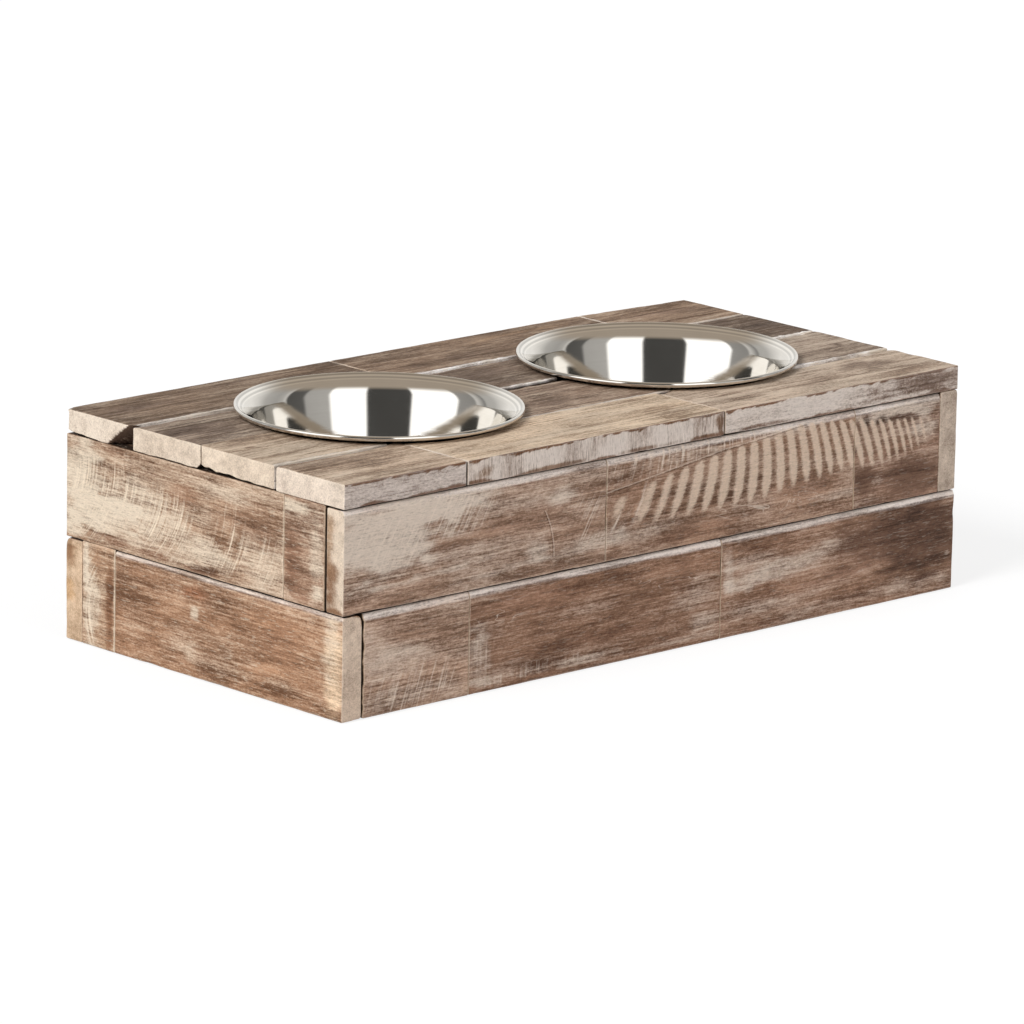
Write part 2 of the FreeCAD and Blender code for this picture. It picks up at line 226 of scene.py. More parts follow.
def wood(name, axis, tone=None, cream=(232, 213, 197), figure_gain=0.45, fibre_gain=0.9, mottle_gain=0.8,
         cloud_gain=0.35, dashes=0.2, pore=0.36, contrast=1.0):
    """Worn, whitewashed board: figure, fibre, pores, wash, saw marks, cracks and worn edges."""
    mat, g, shader = material(name)
    place = g.place()
    figure, fibre, fleck, dash, mottle, cloud, streak, vein = (
        g.noise(place, stretch(axis, run, across), *rest) for run, across, *rest in FIELDS.values())
    lines = 0.0 if axis is None else 1.0
    pale = rgba(cream)

    level = g.clamp(g.total(0.485, (figure, 1.1 * contrast), (cloud, contrast), (fibre, 1.1 * contrast),
                            (mottle, 1.2 * contrast), (streak, 0.9 * contrast * lines)))
    if tone is None:
        colour = g.mix(1.0, g.attribute("shade", "Color"), g.mix(level, DARK_GRAIN, LIGHT_GRAIN), "MULTIPLY")
        mark, stroke = g.attribute("mark"), g.attribute("stroke")
        brushed = g.noise(g.join(g.times(mark, 10.0), g.split(place)[2]), (0.5, 26, 1), 2.0, 0.55)
        amount = g.total(g.attribute("wash"), (figure, figure_gain), (fibre, fibre_gain), (mottle, mottle_gain),
                         (cloud, cloud_gain), (streak, 0.7 * lines))
        swept = g.times(g.math("SUBTRACT", brushed, 0.5), stroke)
        amount = g.math("ADD", amount, g.times(swept, 1.7))
    else:
        colour = g.mix(level, rgba([c * 0.72 for c in tone]), rgba([min(255, c * 1.1) for c in tone]))
        amount = g.total(0.35, (figure, 1.2), (fibre, 1.4), (mottle, 1.0))
    white = g.mix(g.clamp(g.total(0.5, (fibre, 1.2), (mottle, 1.0))), rgba([c * 0.86 for c in cream]), pale)
    colour = g.mix(g.times(g.step(amount, 0.0, 1.0), 0.94), colour, white)
    colour = g.mix(g.times(g.step(dash, 0.55, 0.68), dashes), colour, white)
    if tone is None:
        # Bold saw bands, with dark wood between them
        shown = g.attribute("band")
        wave = g.math("COSINE", g.times(mark, 2 * math.pi))
        broken = g.total(shown, (fibre, 0.5), (mottle, 1.0))
        bands = g.step(g.math("ADD", wave, g.times(broken, 1.5)), 0.35, 1.95)
        bands = g.times(bands, g.step(shown, 0.02, 0.3))
        colour = g.mix(g.times(bands, 0.88), colour, g.mix(1.0, white, BAND_TINT, "MULTIPLY"))
        between = g.times(g.step(wave, -1.0, -0.1, 0.4, 0.0), shown)
        colour = g.mix(between, colour, BETWEEN_TINT, "MULTIPLY")
        # Brush hairs and light veins
        hairs = g.times(g.step(brushed, 0.555, 0.66), stroke)
        colour = g.mix(g.times(hairs, 0.7), colour, pale)
        veins = g.times(g.near(vein, 0.5, 0.0, 0.014), g.attribute("vein"))
        colour = g.mix(g.times(veins, 0.6), colour, pale)
        # A crack with a light lip, and worn edges
        crack = g.total(g.attribute("crack"), (mottle, 1.6))
        colour = g.mix(g.times(g.near(crack, -0.35, 0.1, 0.55), 0.6), colour, CRACK_TINT, "MULTIPLY")
        colour = g.mix(g.times(g.near(crack, 0.55, 0.1, 0.6), 0.35), colour, pale)
        edge = g.step(g.total(g.attribute("edge"), (fibre, 3.0), (cloud, 3.0)), 0.2, 1.0, 1.0, 0.0)
        colour = g.mix(g.times(edge, 0.16), colour, pale)
    pores = g.step(fleck, 0.56, 0.70)
    g.put(shader.inputs["Base Color"], g.mix(g.times(pores, pore), colour, PORE_TINT, "MULTIPLY"))
    g.put(shader.inputs["Roughness"], g.total(0.74, (mottle, 0.5), (figure, -0.4)))
    g.bump(shader, g.total(0.0, (figure, 0.6), (fibre, 1.0), (fleck, -0.6), (mottle, 0.7)), 0.6, 0.0008)
    shader.inputs["Specular IOR Level"].default_value = 0.28
    return mat


MATERIALS = {
    "deck": wood("deck_board", 0, cream=(220, 204, 184), figure_gain=0.9, fibre_gain=1.2, contrast=1.35),
    "board_x": wood("front_board", 0, cream=(236, 219, 203), contrast=1.2),
    "board_y": wood("end_board", 1, cream=(243, 226, 203), figure_gain=0.3, dashes=0.42, contrast=1.15),
    "end": wood("end_grain", None, cream=(242, 227, 207), figure_gain=0.4, fibre_gain=0.3, mottle_gain=0.5,
                dashes=0.06, pore=0.22, contrast=0.65),
    "edge": wood("painted_edge", 2, cream=(238, 225, 215), figure_gain=0.3, fibre_gain=1.05, cloud_gain=1.6,
                 pore=0.3, contrast=0.9),
    "soft_edge": wood("soft_edge", 0, cream=(236, 223, 214), figure_gain=0.4, fibre_gain=0.8, mottle_gain=1.3,
                      cloud_gain=1.0, pore=0.3, contrast=0.8),
    "mottled_edge": wood("mottled_edge", 0, cream=(238, 225, 215), figure_gain=0.3, fibre_gain=0.7,
                         mottle_gain=1.5, cloud_gain=1.6, pore=0.34, contrast=0.9),
}


# Block shapes

FINE = np.array([0, 0.35, 0.75, 1.3, 2.1, 3.2, 4.6]) * MM
AXES = {"x": 0, "y": 1, "z": 2}
FACE_GRAIN = {"front": (16, 4, 4), "end": (4, 16, 4), "deck": (16, 4, 4)}
SHARP_ANGLE = math.radians(42)


def ticks(low, high, step):
    """Places along one side: close together near its two ends."""
    span = high - low
    near = FINE[FINE < span * 0.4]
    count = max(2, round((span - 2 * near[-1]) / step))
    middle = np.linspace(near[-1], span - near[-1], count + 1)[1:-1]
    return low + np.concatenate([near, middle, span - near[::-1]])


def shell(rows):
    """Points and quads of a box's surface over three rows of ticks, with each quad's side."""
    n = [len(r) for r in rows]
    index = np.full(n, -1)
    skin = np.ones(n, bool)
    skin[1:-1, 1:-1, 1:-1] = False
    index[skin] = np.arange(skin.sum())
    grid = np.stack(np.meshgrid(*rows, indexing="ij"), axis=-1)
    quads, sides = [], []
    for axis in range(3):
        for end in (0, -1):
            sheet = np.take(index, end, axis=axis)
            a, b, c, d = sheet[:-1, :-1], sheet[1:, :-1], sheet[1:, 1:], sheet[:-1, 1:]
            outward = (end == -1) ^ (axis == 1)
            order = (a, b, c, d) if outward else (a, d, c, b)
            quads.append(np.stack([o.ravel() for o in order], axis=1))
            sides.append(np.full(len(quads[-1]), axis * 2 + (0 if end == 0 else 1)))
    return grid[skin], np.concatenate(quads), np.concatenate(sides)


def rounded(p, low, high, radius):
    """Rounds a box's edges, with a radius for each point and axis."""
    q = np.clip(p, low + radius, high - radius)
    d = (p - q) / radius
    n = np.linalg.norm(d, axis=1)[:, None]
    return q + radius * d / np.maximum(n, 1), d / np.maximum(n, 1e-9)


def plane(side, low, high):
    """A side such as "x0" as its axis, its place and the way inward from it."""
    i, first = AXES[side[0]], side[1] == "0"
    return i, (low if first else high)[i], 1 if first else -1


def shares(p, face):
    """A point's place on its face, as shares of the stand."""
    s = (p - STAND_LOW) / (LENGTH, DEPTH, HEIGHT)
    return {"front": (s[:, 0], s[:, 2]), "end": (s[:, 1], s[:, 2]), "deck": (s[:, 0], s[:, 1])}[face]


def spot(p, face, place, ragged=0.4, seed=3):
    """How far each point is inside an oval on a face.

    The place is the oval's middle and half sizes, in thousandths of the face, and its lean in degrees, if any.
    """
    u, v = shares(p, face)
    wide, tall = FACE_SIZE[face]
    u0, v0, ru, rv = (t / 1000 for t in place[:4])
    lean = math.radians(sum(place[4:]))
    du, dv = (u - u0) * wide, (v - v0) * tall
    c, s = math.cos(lean), math.sin(lean)
    a, b = (du * c + dv * s) / (ru * wide), (dv * c - du * s) / (rv * tall)
    grain = np.array(FACE_GRAIN[face])
    wild = noise(p, grain * MM, seed) * 0.6 + noise(p, grain * 0.4 * MM, seed + 9) * 0.4
    return smooth(1.15 - np.sqrt(a * a + b * b) + wild * ragged, 0.0, 0.8)


def seat_cut(name, p, low, high):
    """Bends a deck block's end or side to the bowls' round seats."""
    def chord(t):
        return np.sqrt(np.maximum(SEAT_RADIUS ** 2 - t ** 2, 0))

    if "inner" in name:
        half = chord(p[:, 1])
        first = np.full(len(p), low[0])
        last = np.full(len(p), high[0])
        if name.endswith(("left", "middle")):
            last = BOWL_X["left" if name.endswith("left") else "right"] - half
        if name.endswith(("right", "middle")):
            first = BOWL_X["right" if name.endswith("right") else "left"] + half
        share = (p[:, 0] - low[0]) / (high[0] - low[0])
        p[:, 0] = first + share * (last - first)
        return p
    to_left, to_right = p[:, 0] - BOWL_X["left"], p[:, 0] - BOWL_X["right"]
    half = chord(np.where(np.abs(to_left) < np.abs(to_right), to_left, to_right))
    share = (p[:, 1] - low[1]) / (high[1] - low[1])
    if "front" in name:
        p[:, 1] = low[1] + share * (np.minimum(high[1], np.where(half > 0, -half, high[1])) - low[1])
    else:
        inner = np.maximum(low[1], np.where(half > 0, half, low[1]))
        p[:, 1] = inner + share * (high[1] - inner)
    return p


def slope(p0, low, high, side, height, seed):
    """How far up the bevel under a course's top edge a point is, whether it is on it, and whether just below."""
    i, at, _ = plane(side, low, high)
    wild = wilds(p0, seed)
    reach = np.abs(p0[:, i] - at)
    tall = height * (1 + 0.16 * wild(30, 5) + 0.04 * wild(5, 6)) * MM
    drop = high[2] - p0[:, 2]
    tilt = np.clip(1 - drop / tall, 0, 1) * smooth(6 * MM - reach, 0, 4 * MM)
    on = smooth(tall - drop, -0.7 * MM, 0.5 * MM) * (reach < 3 * MM)
    return tilt, on, smooth(tall + 1.6 * MM - drop, 0, 1.2 * MM) * (1 - on) * (reach < 1 * MM)


def off_seat(name, i, p0, low, high):
    """1 along a deck block's seam, 0 where that side is cut to the bowls' round seats."""
    if i != 1 or "inner" in name or not name.startswith("deck"):
        return np.ones(len(p0))
    away = np.minimum(np.abs(p0[:, 0] - BOWL_X["left"]), np.abs(p0[:, 0] - BOWL_X["right"]))
    seam = np.abs(low[1] if "back" in name else high[1])
    return smooth(np.hypot(away, seam) - SEAT_RADIUS, 0, 4 * MM)


def block(name, face, axis, look):
    """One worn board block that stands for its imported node."""
    low, high = (np.array(c, float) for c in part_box(name))
    whole_low, whole_high = low.copy(), high.copy()
    for side, amount in look.get("inset", {}).items():
        i, _, way = plane(side, low, high)
        (low if way > 0 else high)[i] += amount * MM * way
    seed = sum(ord(c) * (i + 3) for i, c in enumerate(name)) % 977
    steps = [look.get("across", 2.6) * MM] * 3
    steps[axis] = look.get("step", 2.4) * MM
    p0, quads, sides = shell([ticks(low[i], high[i], steps[i]) for i in range(3)])
    wild = wilds(p0, seed)

    # Edge radius: small all round, worn here and there, larger at the named corners.
    radius = (0.75 + 0.3 * wild(9, 0)) * MM
    radius += smooth(wild(13, 1), 0.45, 0.9) * 1.1 * MM
    radius = np.repeat(radius[:, None], 3, axis=1)
    for near, size in look.get("corners", ()):
        planes = [plane(side, low, high) for side in near]
        close = np.ones(len(p0), bool)
        for i, at, _ in planes:
            close &= np.abs(p0[:, i] - at) < size * 1.3 * MM
        wavy = size * (1 + 0.16 * wild(14, 5) + 0.1 * wild(4, 6))
        for i, _, _ in planes:
            radius[:, i] = np.where(close, wavy * MM, radius[:, i])
    p, outward = rounded(p0, low, high, radius)

    for side, height, depth in look.get("bevels", ()):
        i, _, way = plane(side, low, high)
        p[:, i] += slope(p0, low, high, side, height, seed)[0] * depth * MM * way
    for side, width, depth in look.get("dips", ()):
        i, at, _ = plane(side, low, high)
        uneven = 0.85 + 0.35 * wild(18, 7) + 0.15 * wild(6, 8)
        fall = np.clip(1 - np.abs(p0[:, i] - at) / (width * MM), 0, 1)
        fall = fall * np.clip(1 - (high[2] - p0[:, 2]) / (6 * MM), 0, 1)
        outer = np.minimum(p0[:, 0] - STAND_LOW[0], STAND_HIGH[0] - p0[:, 0])
        fall = fall * (0.55 + 0.45 * smooth(outer, 0, 10 * MM))
        p[:, 2] -= fall * uneven * depth * MM * off_seat(name, i, p0, low, high)
    swell = wild(45, 2) * 0.6 + wild(9, 3) * 0.4
    p = p - outward * ((swell * 0.5 + 0.5) * 0.22 * MM)[:, None]
    values = paint(name, face, axis, p0, low, high, look, seed)
    if "relief" in look:
        groove = np.clip(1.45 * values["band"] + np.cos(2 * math.pi * values["mark"]), -1, 1.2)
        p = p - outward * ((1.2 - groove) * smooth(values["band"], 0.05, 0.4) * look["relief"] * MM)[:, None]
    for carve in look.get("carve", ()):
        p = carve(p0, p, low, high, values)
    if face == "deck":
        p = seat_cut(name, p, low, high)
    p = np.clip(p, whole_low, whole_high)

    mesh = bpy.data.meshes.new(name + "_worn")
    mesh.from_pydata(p.tolist(), [], quads.tolist())
    mesh.polygons.foreach_set("use_smooth", np.ones(len(quads), bool))
    main = "deck" if face == "deck" else ("board_x" if axis == 0 else "board_y")
    for key in (main, "end", look.get("edge_look", "edge")):
        mesh.materials.append(MATERIALS[key])
    number = np.zeros(len(quads), int)
    number[(sides // 2) == axis] = 1
    if name.startswith("deck_front"):
        number[sides == 2] = 2
    if name.startswith("deck_back"):
        number[sides == 3] = 2
    mesh.polygons.foreach_set("material_index", number)
    for key, value in values.items():
        if key == "shade":
            layer = mesh.attributes.new(key, "FLOAT_COLOR", "POINT")
            layer.data.foreach_set("color", np.concatenate([value, np.ones((len(value), 1))], axis=1).ravel())
        else:
            layer = mesh.attributes.new(key, "FLOAT", "POINT")
            layer.data.foreach_set("value", value)
    mesh.update()
    mesh.set_sharp_from_angle(angle=SHARP_ANGLE)
    piece = bpy.data.objects.new(name + "_worn", mesh)
    link(piece)
    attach(piece, "stand")
    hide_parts(name)


# Block colours

PLAIN_END, EDGE_TONE = ((196, 168, 140), 0.15), (156, 132, 116)
# The last tone on the next line is painted shade for the faces inside joints.
BROWN_TONE, TORN_AND_SHADED_TONE, JOINT_SHADE_TONE = (112, 80, 59), (92, 70, 56), (60, 47, 39)
# The chalk tone on the next line is partly whitewash and partly painted highlight on the bevels.
FILLER_TONE, CHALK_AND_HIGHLIGHT_TONE = (255, 251, 247), (243, 233, 227)
FAR_FROM_EDGE, NO_CRACK = 8.0, 50.0


def blend(shade, colour, amount):
    return shade * (1 - amount)[:, None] + linear(colour) * amount[:, None]


def paint(name, face, axis, p0, low, high, look, seed):
    """The block's colour, whitewash and marks at every point, before the shader breaks them up."""
    count = len(p0)
    wild = wilds(p0, seed)
    along = np.arange(3) == axis
    broad = noise(p0, np.where(along, 60, 14) * MM, seed + 11)
    shade = np.tile(linear(look["tone"]), (count, 1)) * (1 + 0.15 * broad)[:, None]
    wash = look["wash"] + 0.17 * noise(p0, np.where(along, 45, 10) * MM, seed + 12)
    for place, colour, amount in look.get("stains", ()):
        inside = spot(p0, face, place, 0.5, seed + 21) * amount
        shade = blend(shade, colour, inside)
        wash = wash - inside * 0.35
    for place, amount in look.get("pale", ()):
        wash = wash + spot(p0, face, place, 0.55, seed + 31) * amount

    # Cut ends
    ends = (p0[:, axis] <= low[axis] + TINY, p0[:, axis] >= high[axis] - TINY)
    on_end = ends[0] | ends[1]
    for end, on in enumerate(ends):
        colour, wash[on] = look.get("first_end", PLAIN_END) if end == 0 else PLAIN_END
        shade[on] = linear(colour) * (1 + 0.08 * broad[on])[:, None]
        for place, tint, amount in look.get("end_stains", ()):
            inside = spot(p0[on], "end" if axis == 0 else "front", place, 0.7, seed + 41) * amount
            shade[on] = blend(shade[on], tint, inside)
            wash[on] -= inside * 0.3

    # The deck's long outer edges: painted, worn to brown along the top and the foot
    if name.startswith(("deck_front", "deck_back")):
        outer = p0[:, 1] <= low[1] + TINY if "front" in name else p0[:, 1] >= high[1] - TINY
        outer &= ~on_end
        shade[outer] = linear(look.get("edge_tone", EDGE_TONE))
        wash[outer] = look.get("edge_wash", 0.65)
        fall = high[2] - p0[:, 2]
        ragged = wild(16, 51) + 0.7 * wild(3.5, 52)
        worn = smooth((1.5 + 1.5 * ragged) * MM - fall, 0, 0.6 * MM)
        foot = (1.3 + 2.4 * wild(20, 53) + 0.8 * ragged) * MM - (p0[:, 2] - low[2])
        worn = np.maximum(worn, 0.8 * smooth(foot, 0, 1.2 * MM))
        for place, reach in look.get("rust", ()):
            u = (p0[:, 0] - STAND_LOW[0]) / LENGTH
            deep = reach * np.exp(-((u - place) / 0.014) ** 2) * (0.8 + 0.6 * ragged) - 0.3
            worn = np.maximum(worn, smooth(deep * MM - fall, 0, 1.2 * MM))
        worn = worn * outer
        shade = blend(shade, BROWN_TONE, worn)
        wash = wash - worn
        for place, tint, amount in look.get("edge_stains", ()):
            inside = spot(p0, "front", place, 0.6, seed + 61) * amount * outer
            shade = blend(shade, tint, inside)
            wash = wash - inside * 0.85

    # Pale rims along joints, filled white on the deck
    for side, amount, width in look.get("rims", ()):
        i, at, _ = plane(side, low, high)
        reach = np.abs(p0[:, i] - at) / MM
        patchy = 0.75 + 0.5 * wild(12, 71)
        rim = smooth(width * (1 + 0.5 * wild(5, 72)) - reach, 0, 0.6) * patchy
        rim = rim * off_seat(name, i, p0, low, high)
        if face == "deck" and i == 1:
            rim = rim * ~on_end
        wash = wash + rim * amount * (1.3 if face == "deck" else 0.6)
        if face == "deck":
            filler = np.clip(rim * amount * 1.1, 0, 1)
            shade = blend(shade, FILLER_TONE, filler)
            wash = wash - filler * amount
    # Chalky bevels, partly whitewash and partly painted highlight, with a dark line below
    for side, height, _ in look.get("bevels", ()):
        _, on_bevel, below = slope(p0, low, high, side, height, seed)
        dark = below * np.clip(0.4 + 0.5 * wild(26, 74), 0, 0.6)
        shade = shade * (1 - dark)[:, None]
        wash = wash - 0.5 * dark
        uneven = 0.9 + 0.4 * wild(20, 73)
        chalk_and_highlight = on_bevel * np.clip(look.get("bevel_wash", 0.85) * uneven, 0, 1) * ~on_end
        shade = blend(shade, CHALK_AND_HIGHLIGHT_TONE, chalk_and_highlight)
        wash = wash * (1 - chalk_and_highlight) + 0.45 * chalk_and_highlight
    # Painted shade on the faces inside joints, so the gaps between blocks read dark
    behind = np.full(count, 1.0)
    for i in range(3):
        if i < 2 and abs(low[i] - STAND_LOW[i]) < 3 * MM:
            behind = np.minimum(behind, p0[:, i] - low[i])
        if abs(high[i] - STAND_HIGH[i]) < 3 * MM:
            behind = np.minimum(behind, high[i] - p0[:, i])
    start = look.get("grime", 0.5) * MM
    grime = smooth(behind, start, start + 1.0 * MM) * smooth(13 * MM - behind, 0, 5 * MM)
    shade = blend(shade, JOINT_SHADE_TONE, grime)
    wash = wash * (1 - grime) - 0.25 * grime

    to_edge = np.sort(np.minimum(p0 - low, high - p0), axis=1)[:, 1] / MM
    to_edge = np.where(behind > 0.3 * MM, FAR_FROM_EDGE, to_edge)
    values = {"shade": np.clip(shade, 0, 1), "wash": np.clip(wash, -0.4, 1.4),
              "edge": np.clip(to_edge, 0, FAR_FROM_EDGE), "crack": np.full(count, NO_CRACK)}
    values.update((key, np.zeros(count)) for key in ("mark", "band", "stroke", "vein"))
    for place, amount in look.get("veins", ()):
        values["vein"] = np.maximum(values["vein"], spot(p0, face, place, 0.4, seed + 81) * amount)
    if "marks" in look:
        look["marks"](p0, values)
    return values


# Marks left by saws and brushes

def in_mm(p, face):
    """A point's place on its face, in millimetres from the stand's front left foot."""
    return (share * size / MM for share, size in zip(shares(p, face), FACE_SIZE[face]))


def strokes(p0, face, *spots):
    """Where brush strokes show: the strongest of some (place, amount) spots."""
    return np.maximum.reduce([spot(p0, face, place, 0.3) * amount for place, amount in spots])


def crescents(p0, values):
    """Bold saw crescents on the upper front boards, with a light crack above them."""
    x, z = in_mm(p0, "front")
    turn = np.clip(0.46 - 0.0046 * (x - 240), -0.31, 0.5)
    lift = z - 98
    flat = x - turn * lift + 0.005 * lift ** 2
    values["mark"] = np.interp(flat, [0, 241, 279, 315, 349, 381, 408, 433, 454, 466, 500],
                               [-10, 0, 3, 6, 9, 12, 15, 18, 21, 23, 28])
    along = [200, 240, 280, 325, 366, 404, 437, 463, 500]
    top = np.interp(x, along, [96, 104, 111, 117, 122, 119, 114, 112, 111])
    foot = np.interp(x, along, [82, 79, 80, 79, 85, 88, 86, 90, 95])
    reach = np.interp(x, [205, 215, 245, 280, 415, 435, 455, 472, 484],
                      [0, 0.38, 0.6, 1.0, 1.0, 0.85, 0.65, 0.3, 0])
    values["band"] = reach * smooth(top - z, -1.5, 1.5) * smooth(z - foot, -3.0, 12.0)
    line = np.interp(x, [205, 232, 301, 329, 365], [103.5, 106.8, 115.8, 118.0, 121.5])
    if x.min() < 300:
        values["crack"] = np.where((x > 205) & (x < 372), z - line, NO_CRACK)
        brushed = smooth(z - line, 0.0, 2.0) * smooth(372 - x, 0, 40)
        swept = smooth(262 - x, 0, 40) * smooth(line - z, -1, 2) * smooth(z - 76, 0, 10)
        values["stroke"] = np.maximum(brushed * 0.7, swept * 0.75)
        values["wash"] = values["wash"] + brushed * 0.06


def slants(p0, values):
    """Fine slanting brush strokes and a bowed crack at the left of the upper front."""
    x, z = in_mm(p0, "front")
    values["mark"] = (x - 0.58 * (z - 100)) / 10.0
    values["stroke"] = strokes(p0, "front", ((170, 790, 75, 110), 0.75), ((70, 740, 100, 160), 0.5),
                               ((385, 660, 30, 140), 0.55))
    bow = 0.308 * LENGTH / MM + 10.5 * (1 - ((z - 74) / 32) ** 2) - 1.0
    values["crack"] = np.where((z > 72) & (z < 102) & (np.abs(x - bow) < 8), x - bow, NO_CRACK)


def low_slants(p0, values):
    """Fine slanting strokes along the foot of the lower left front."""
    x, z = in_mm(p0, "front")
    values["mark"] = (x - 0.35 * z) / 10.0
    values["stroke"] = strokes(p0, "front", ((110, 80, 90, 130), 0.55))


def smears(p0, values):
    """Upright brush strokes in the lower middle front's pale patches."""
    x, _ = in_mm(p0, "front")
    values["mark"] = x / 10.0
    values["stroke"] = strokes(p0, "front", ((211, 150, 20, 140), 0.35), ((300, 50, 100, 30, 4), 0.5))


def arcs(p0, values):
    """Fine saw arcs over the upper left end."""
    y, z = in_mm(p0, "end")
    bow = np.interp(y, [50, 110, 170, 247], [0.006, 0.0075, 0.0104, 0.0104])
    values["mark"] = (y - bow * (z - 112) ** 2) / 8.0
    values["stroke"] = strokes(p0, "end", ((860, 700, 140, 170), 0.8), ((640, 630, 140, 170), 0.85),
                               ((410, 620, 80, 180), 0.85), ((900, 570, 100, 120), 0.6),
                               ((280, 600, 60, 140), 0.4))


def fan(p0, values):
    """A fan of light strokes on the short lower left block."""
    y, z = in_mm(p0, "end")
    values["mark"] = (y + 0.012 * (z - 20) ** 2) / 8.0
    values["stroke"] = strokes(p0, "end", ((905, 200, 35, 260), 0.8))


# Breaks and gaps

def chipped(p0, p, low, high, values):
    """The lower front corner of the back deck block's left end is split off, down to torn wood painted dark, as torn
    wood and as painted shade.
    """
    a, b, c = STAND_LOW + np.array([(0, 190, 140), (0, 211, 124.5), (26, 186.5, 124.5)]) * MM
    n = np.cross(b - a, c - a)
    n = n / np.linalg.norm(n)
    n = n if n[2] > 0 else -n
    torn = (noise(p0, [3 * MM, 1.6 * MM, 3 * MM], 5) + 0.5 * noise(p0, [1.2 * MM] * 3, 6)) * 0.7 * MM
    torn = torn * smooth(p0[:, 0] - low[0], 0, 4 * MM)
    depth = (p - a) @ n + torn
    torn_and_shaded = depth < 0
    # Painted shade: the torn face is darkened for the shade it sits in, as well as for its torn wood.
    values["shade"][torn_and_shaded] = linear(TORN_AND_SHADED_TONE)
    values["wash"][torn_and_shaded] = 0.0
    values["edge"][torn_and_shaded] = FAR_FROM_EDGE
    return p - np.minimum(depth, 0)[:, None] * n


def ragged_foot(*rises):
    """The underside of a deck block's left end is torn upwards: (depth share, rise in mm) pairs."""
    def carve(p0, p, low, high, values):
        v = (p0[:, 1] - STAND_LOW[1]) / DEPTH
        rise = np.interp(v, *zip(*rises)) * MM
        torn = (0.75 + 0.4 * noise(p0, [40 * MM, 5.5 * MM, 40 * MM], 15)
                + 0.2 * noise(p0, [40 * MM, 2.2 * MM, 40 * MM], 16))
        fade = smooth(low[0] + 14 * MM - p0[:, 0], 0, 9 * MM)
        weight = np.clip(1 - (p0[:, 2] - low[2]) / (8 * MM), 0, 1)
        p[:, 2] += np.maximum(rise * torn, 0) * fade * weight
        return p
    return carve


def tapered(p0, p, low, high, values):
    """The back deck block narrows a little towards the right."""
    share = (p0[:, 1] - low[1]) / (high[1] - low[1])
    run = np.clip((p0[:, 0] - low[0]) / (high[0] - low[0]), 0, 1)
    p[:, 1] -= share * run * 6.0 * MM
    return p


def ragged_left(p0, p, low, high, values):
    """The left end of a board is torn back unevenly from top to bottom."""
    near = smooth(8 * MM - np.abs(p0[:, 0] - low[0]), 0, 8 * MM)
    torn = np.clip(0.5 + 0.6 * noise(p0, [50 * MM, 50 * MM, 2.5 * MM], 25), 0, 1.2) * 1.4 * MM
    p[:, 0] += near * torn
    return p


def board(tone, wash, **rest):
    """A block's look: its tone, how much whitewash it keeps, and what else it has."""
    return dict(rest, tone=tone, wash=wash)
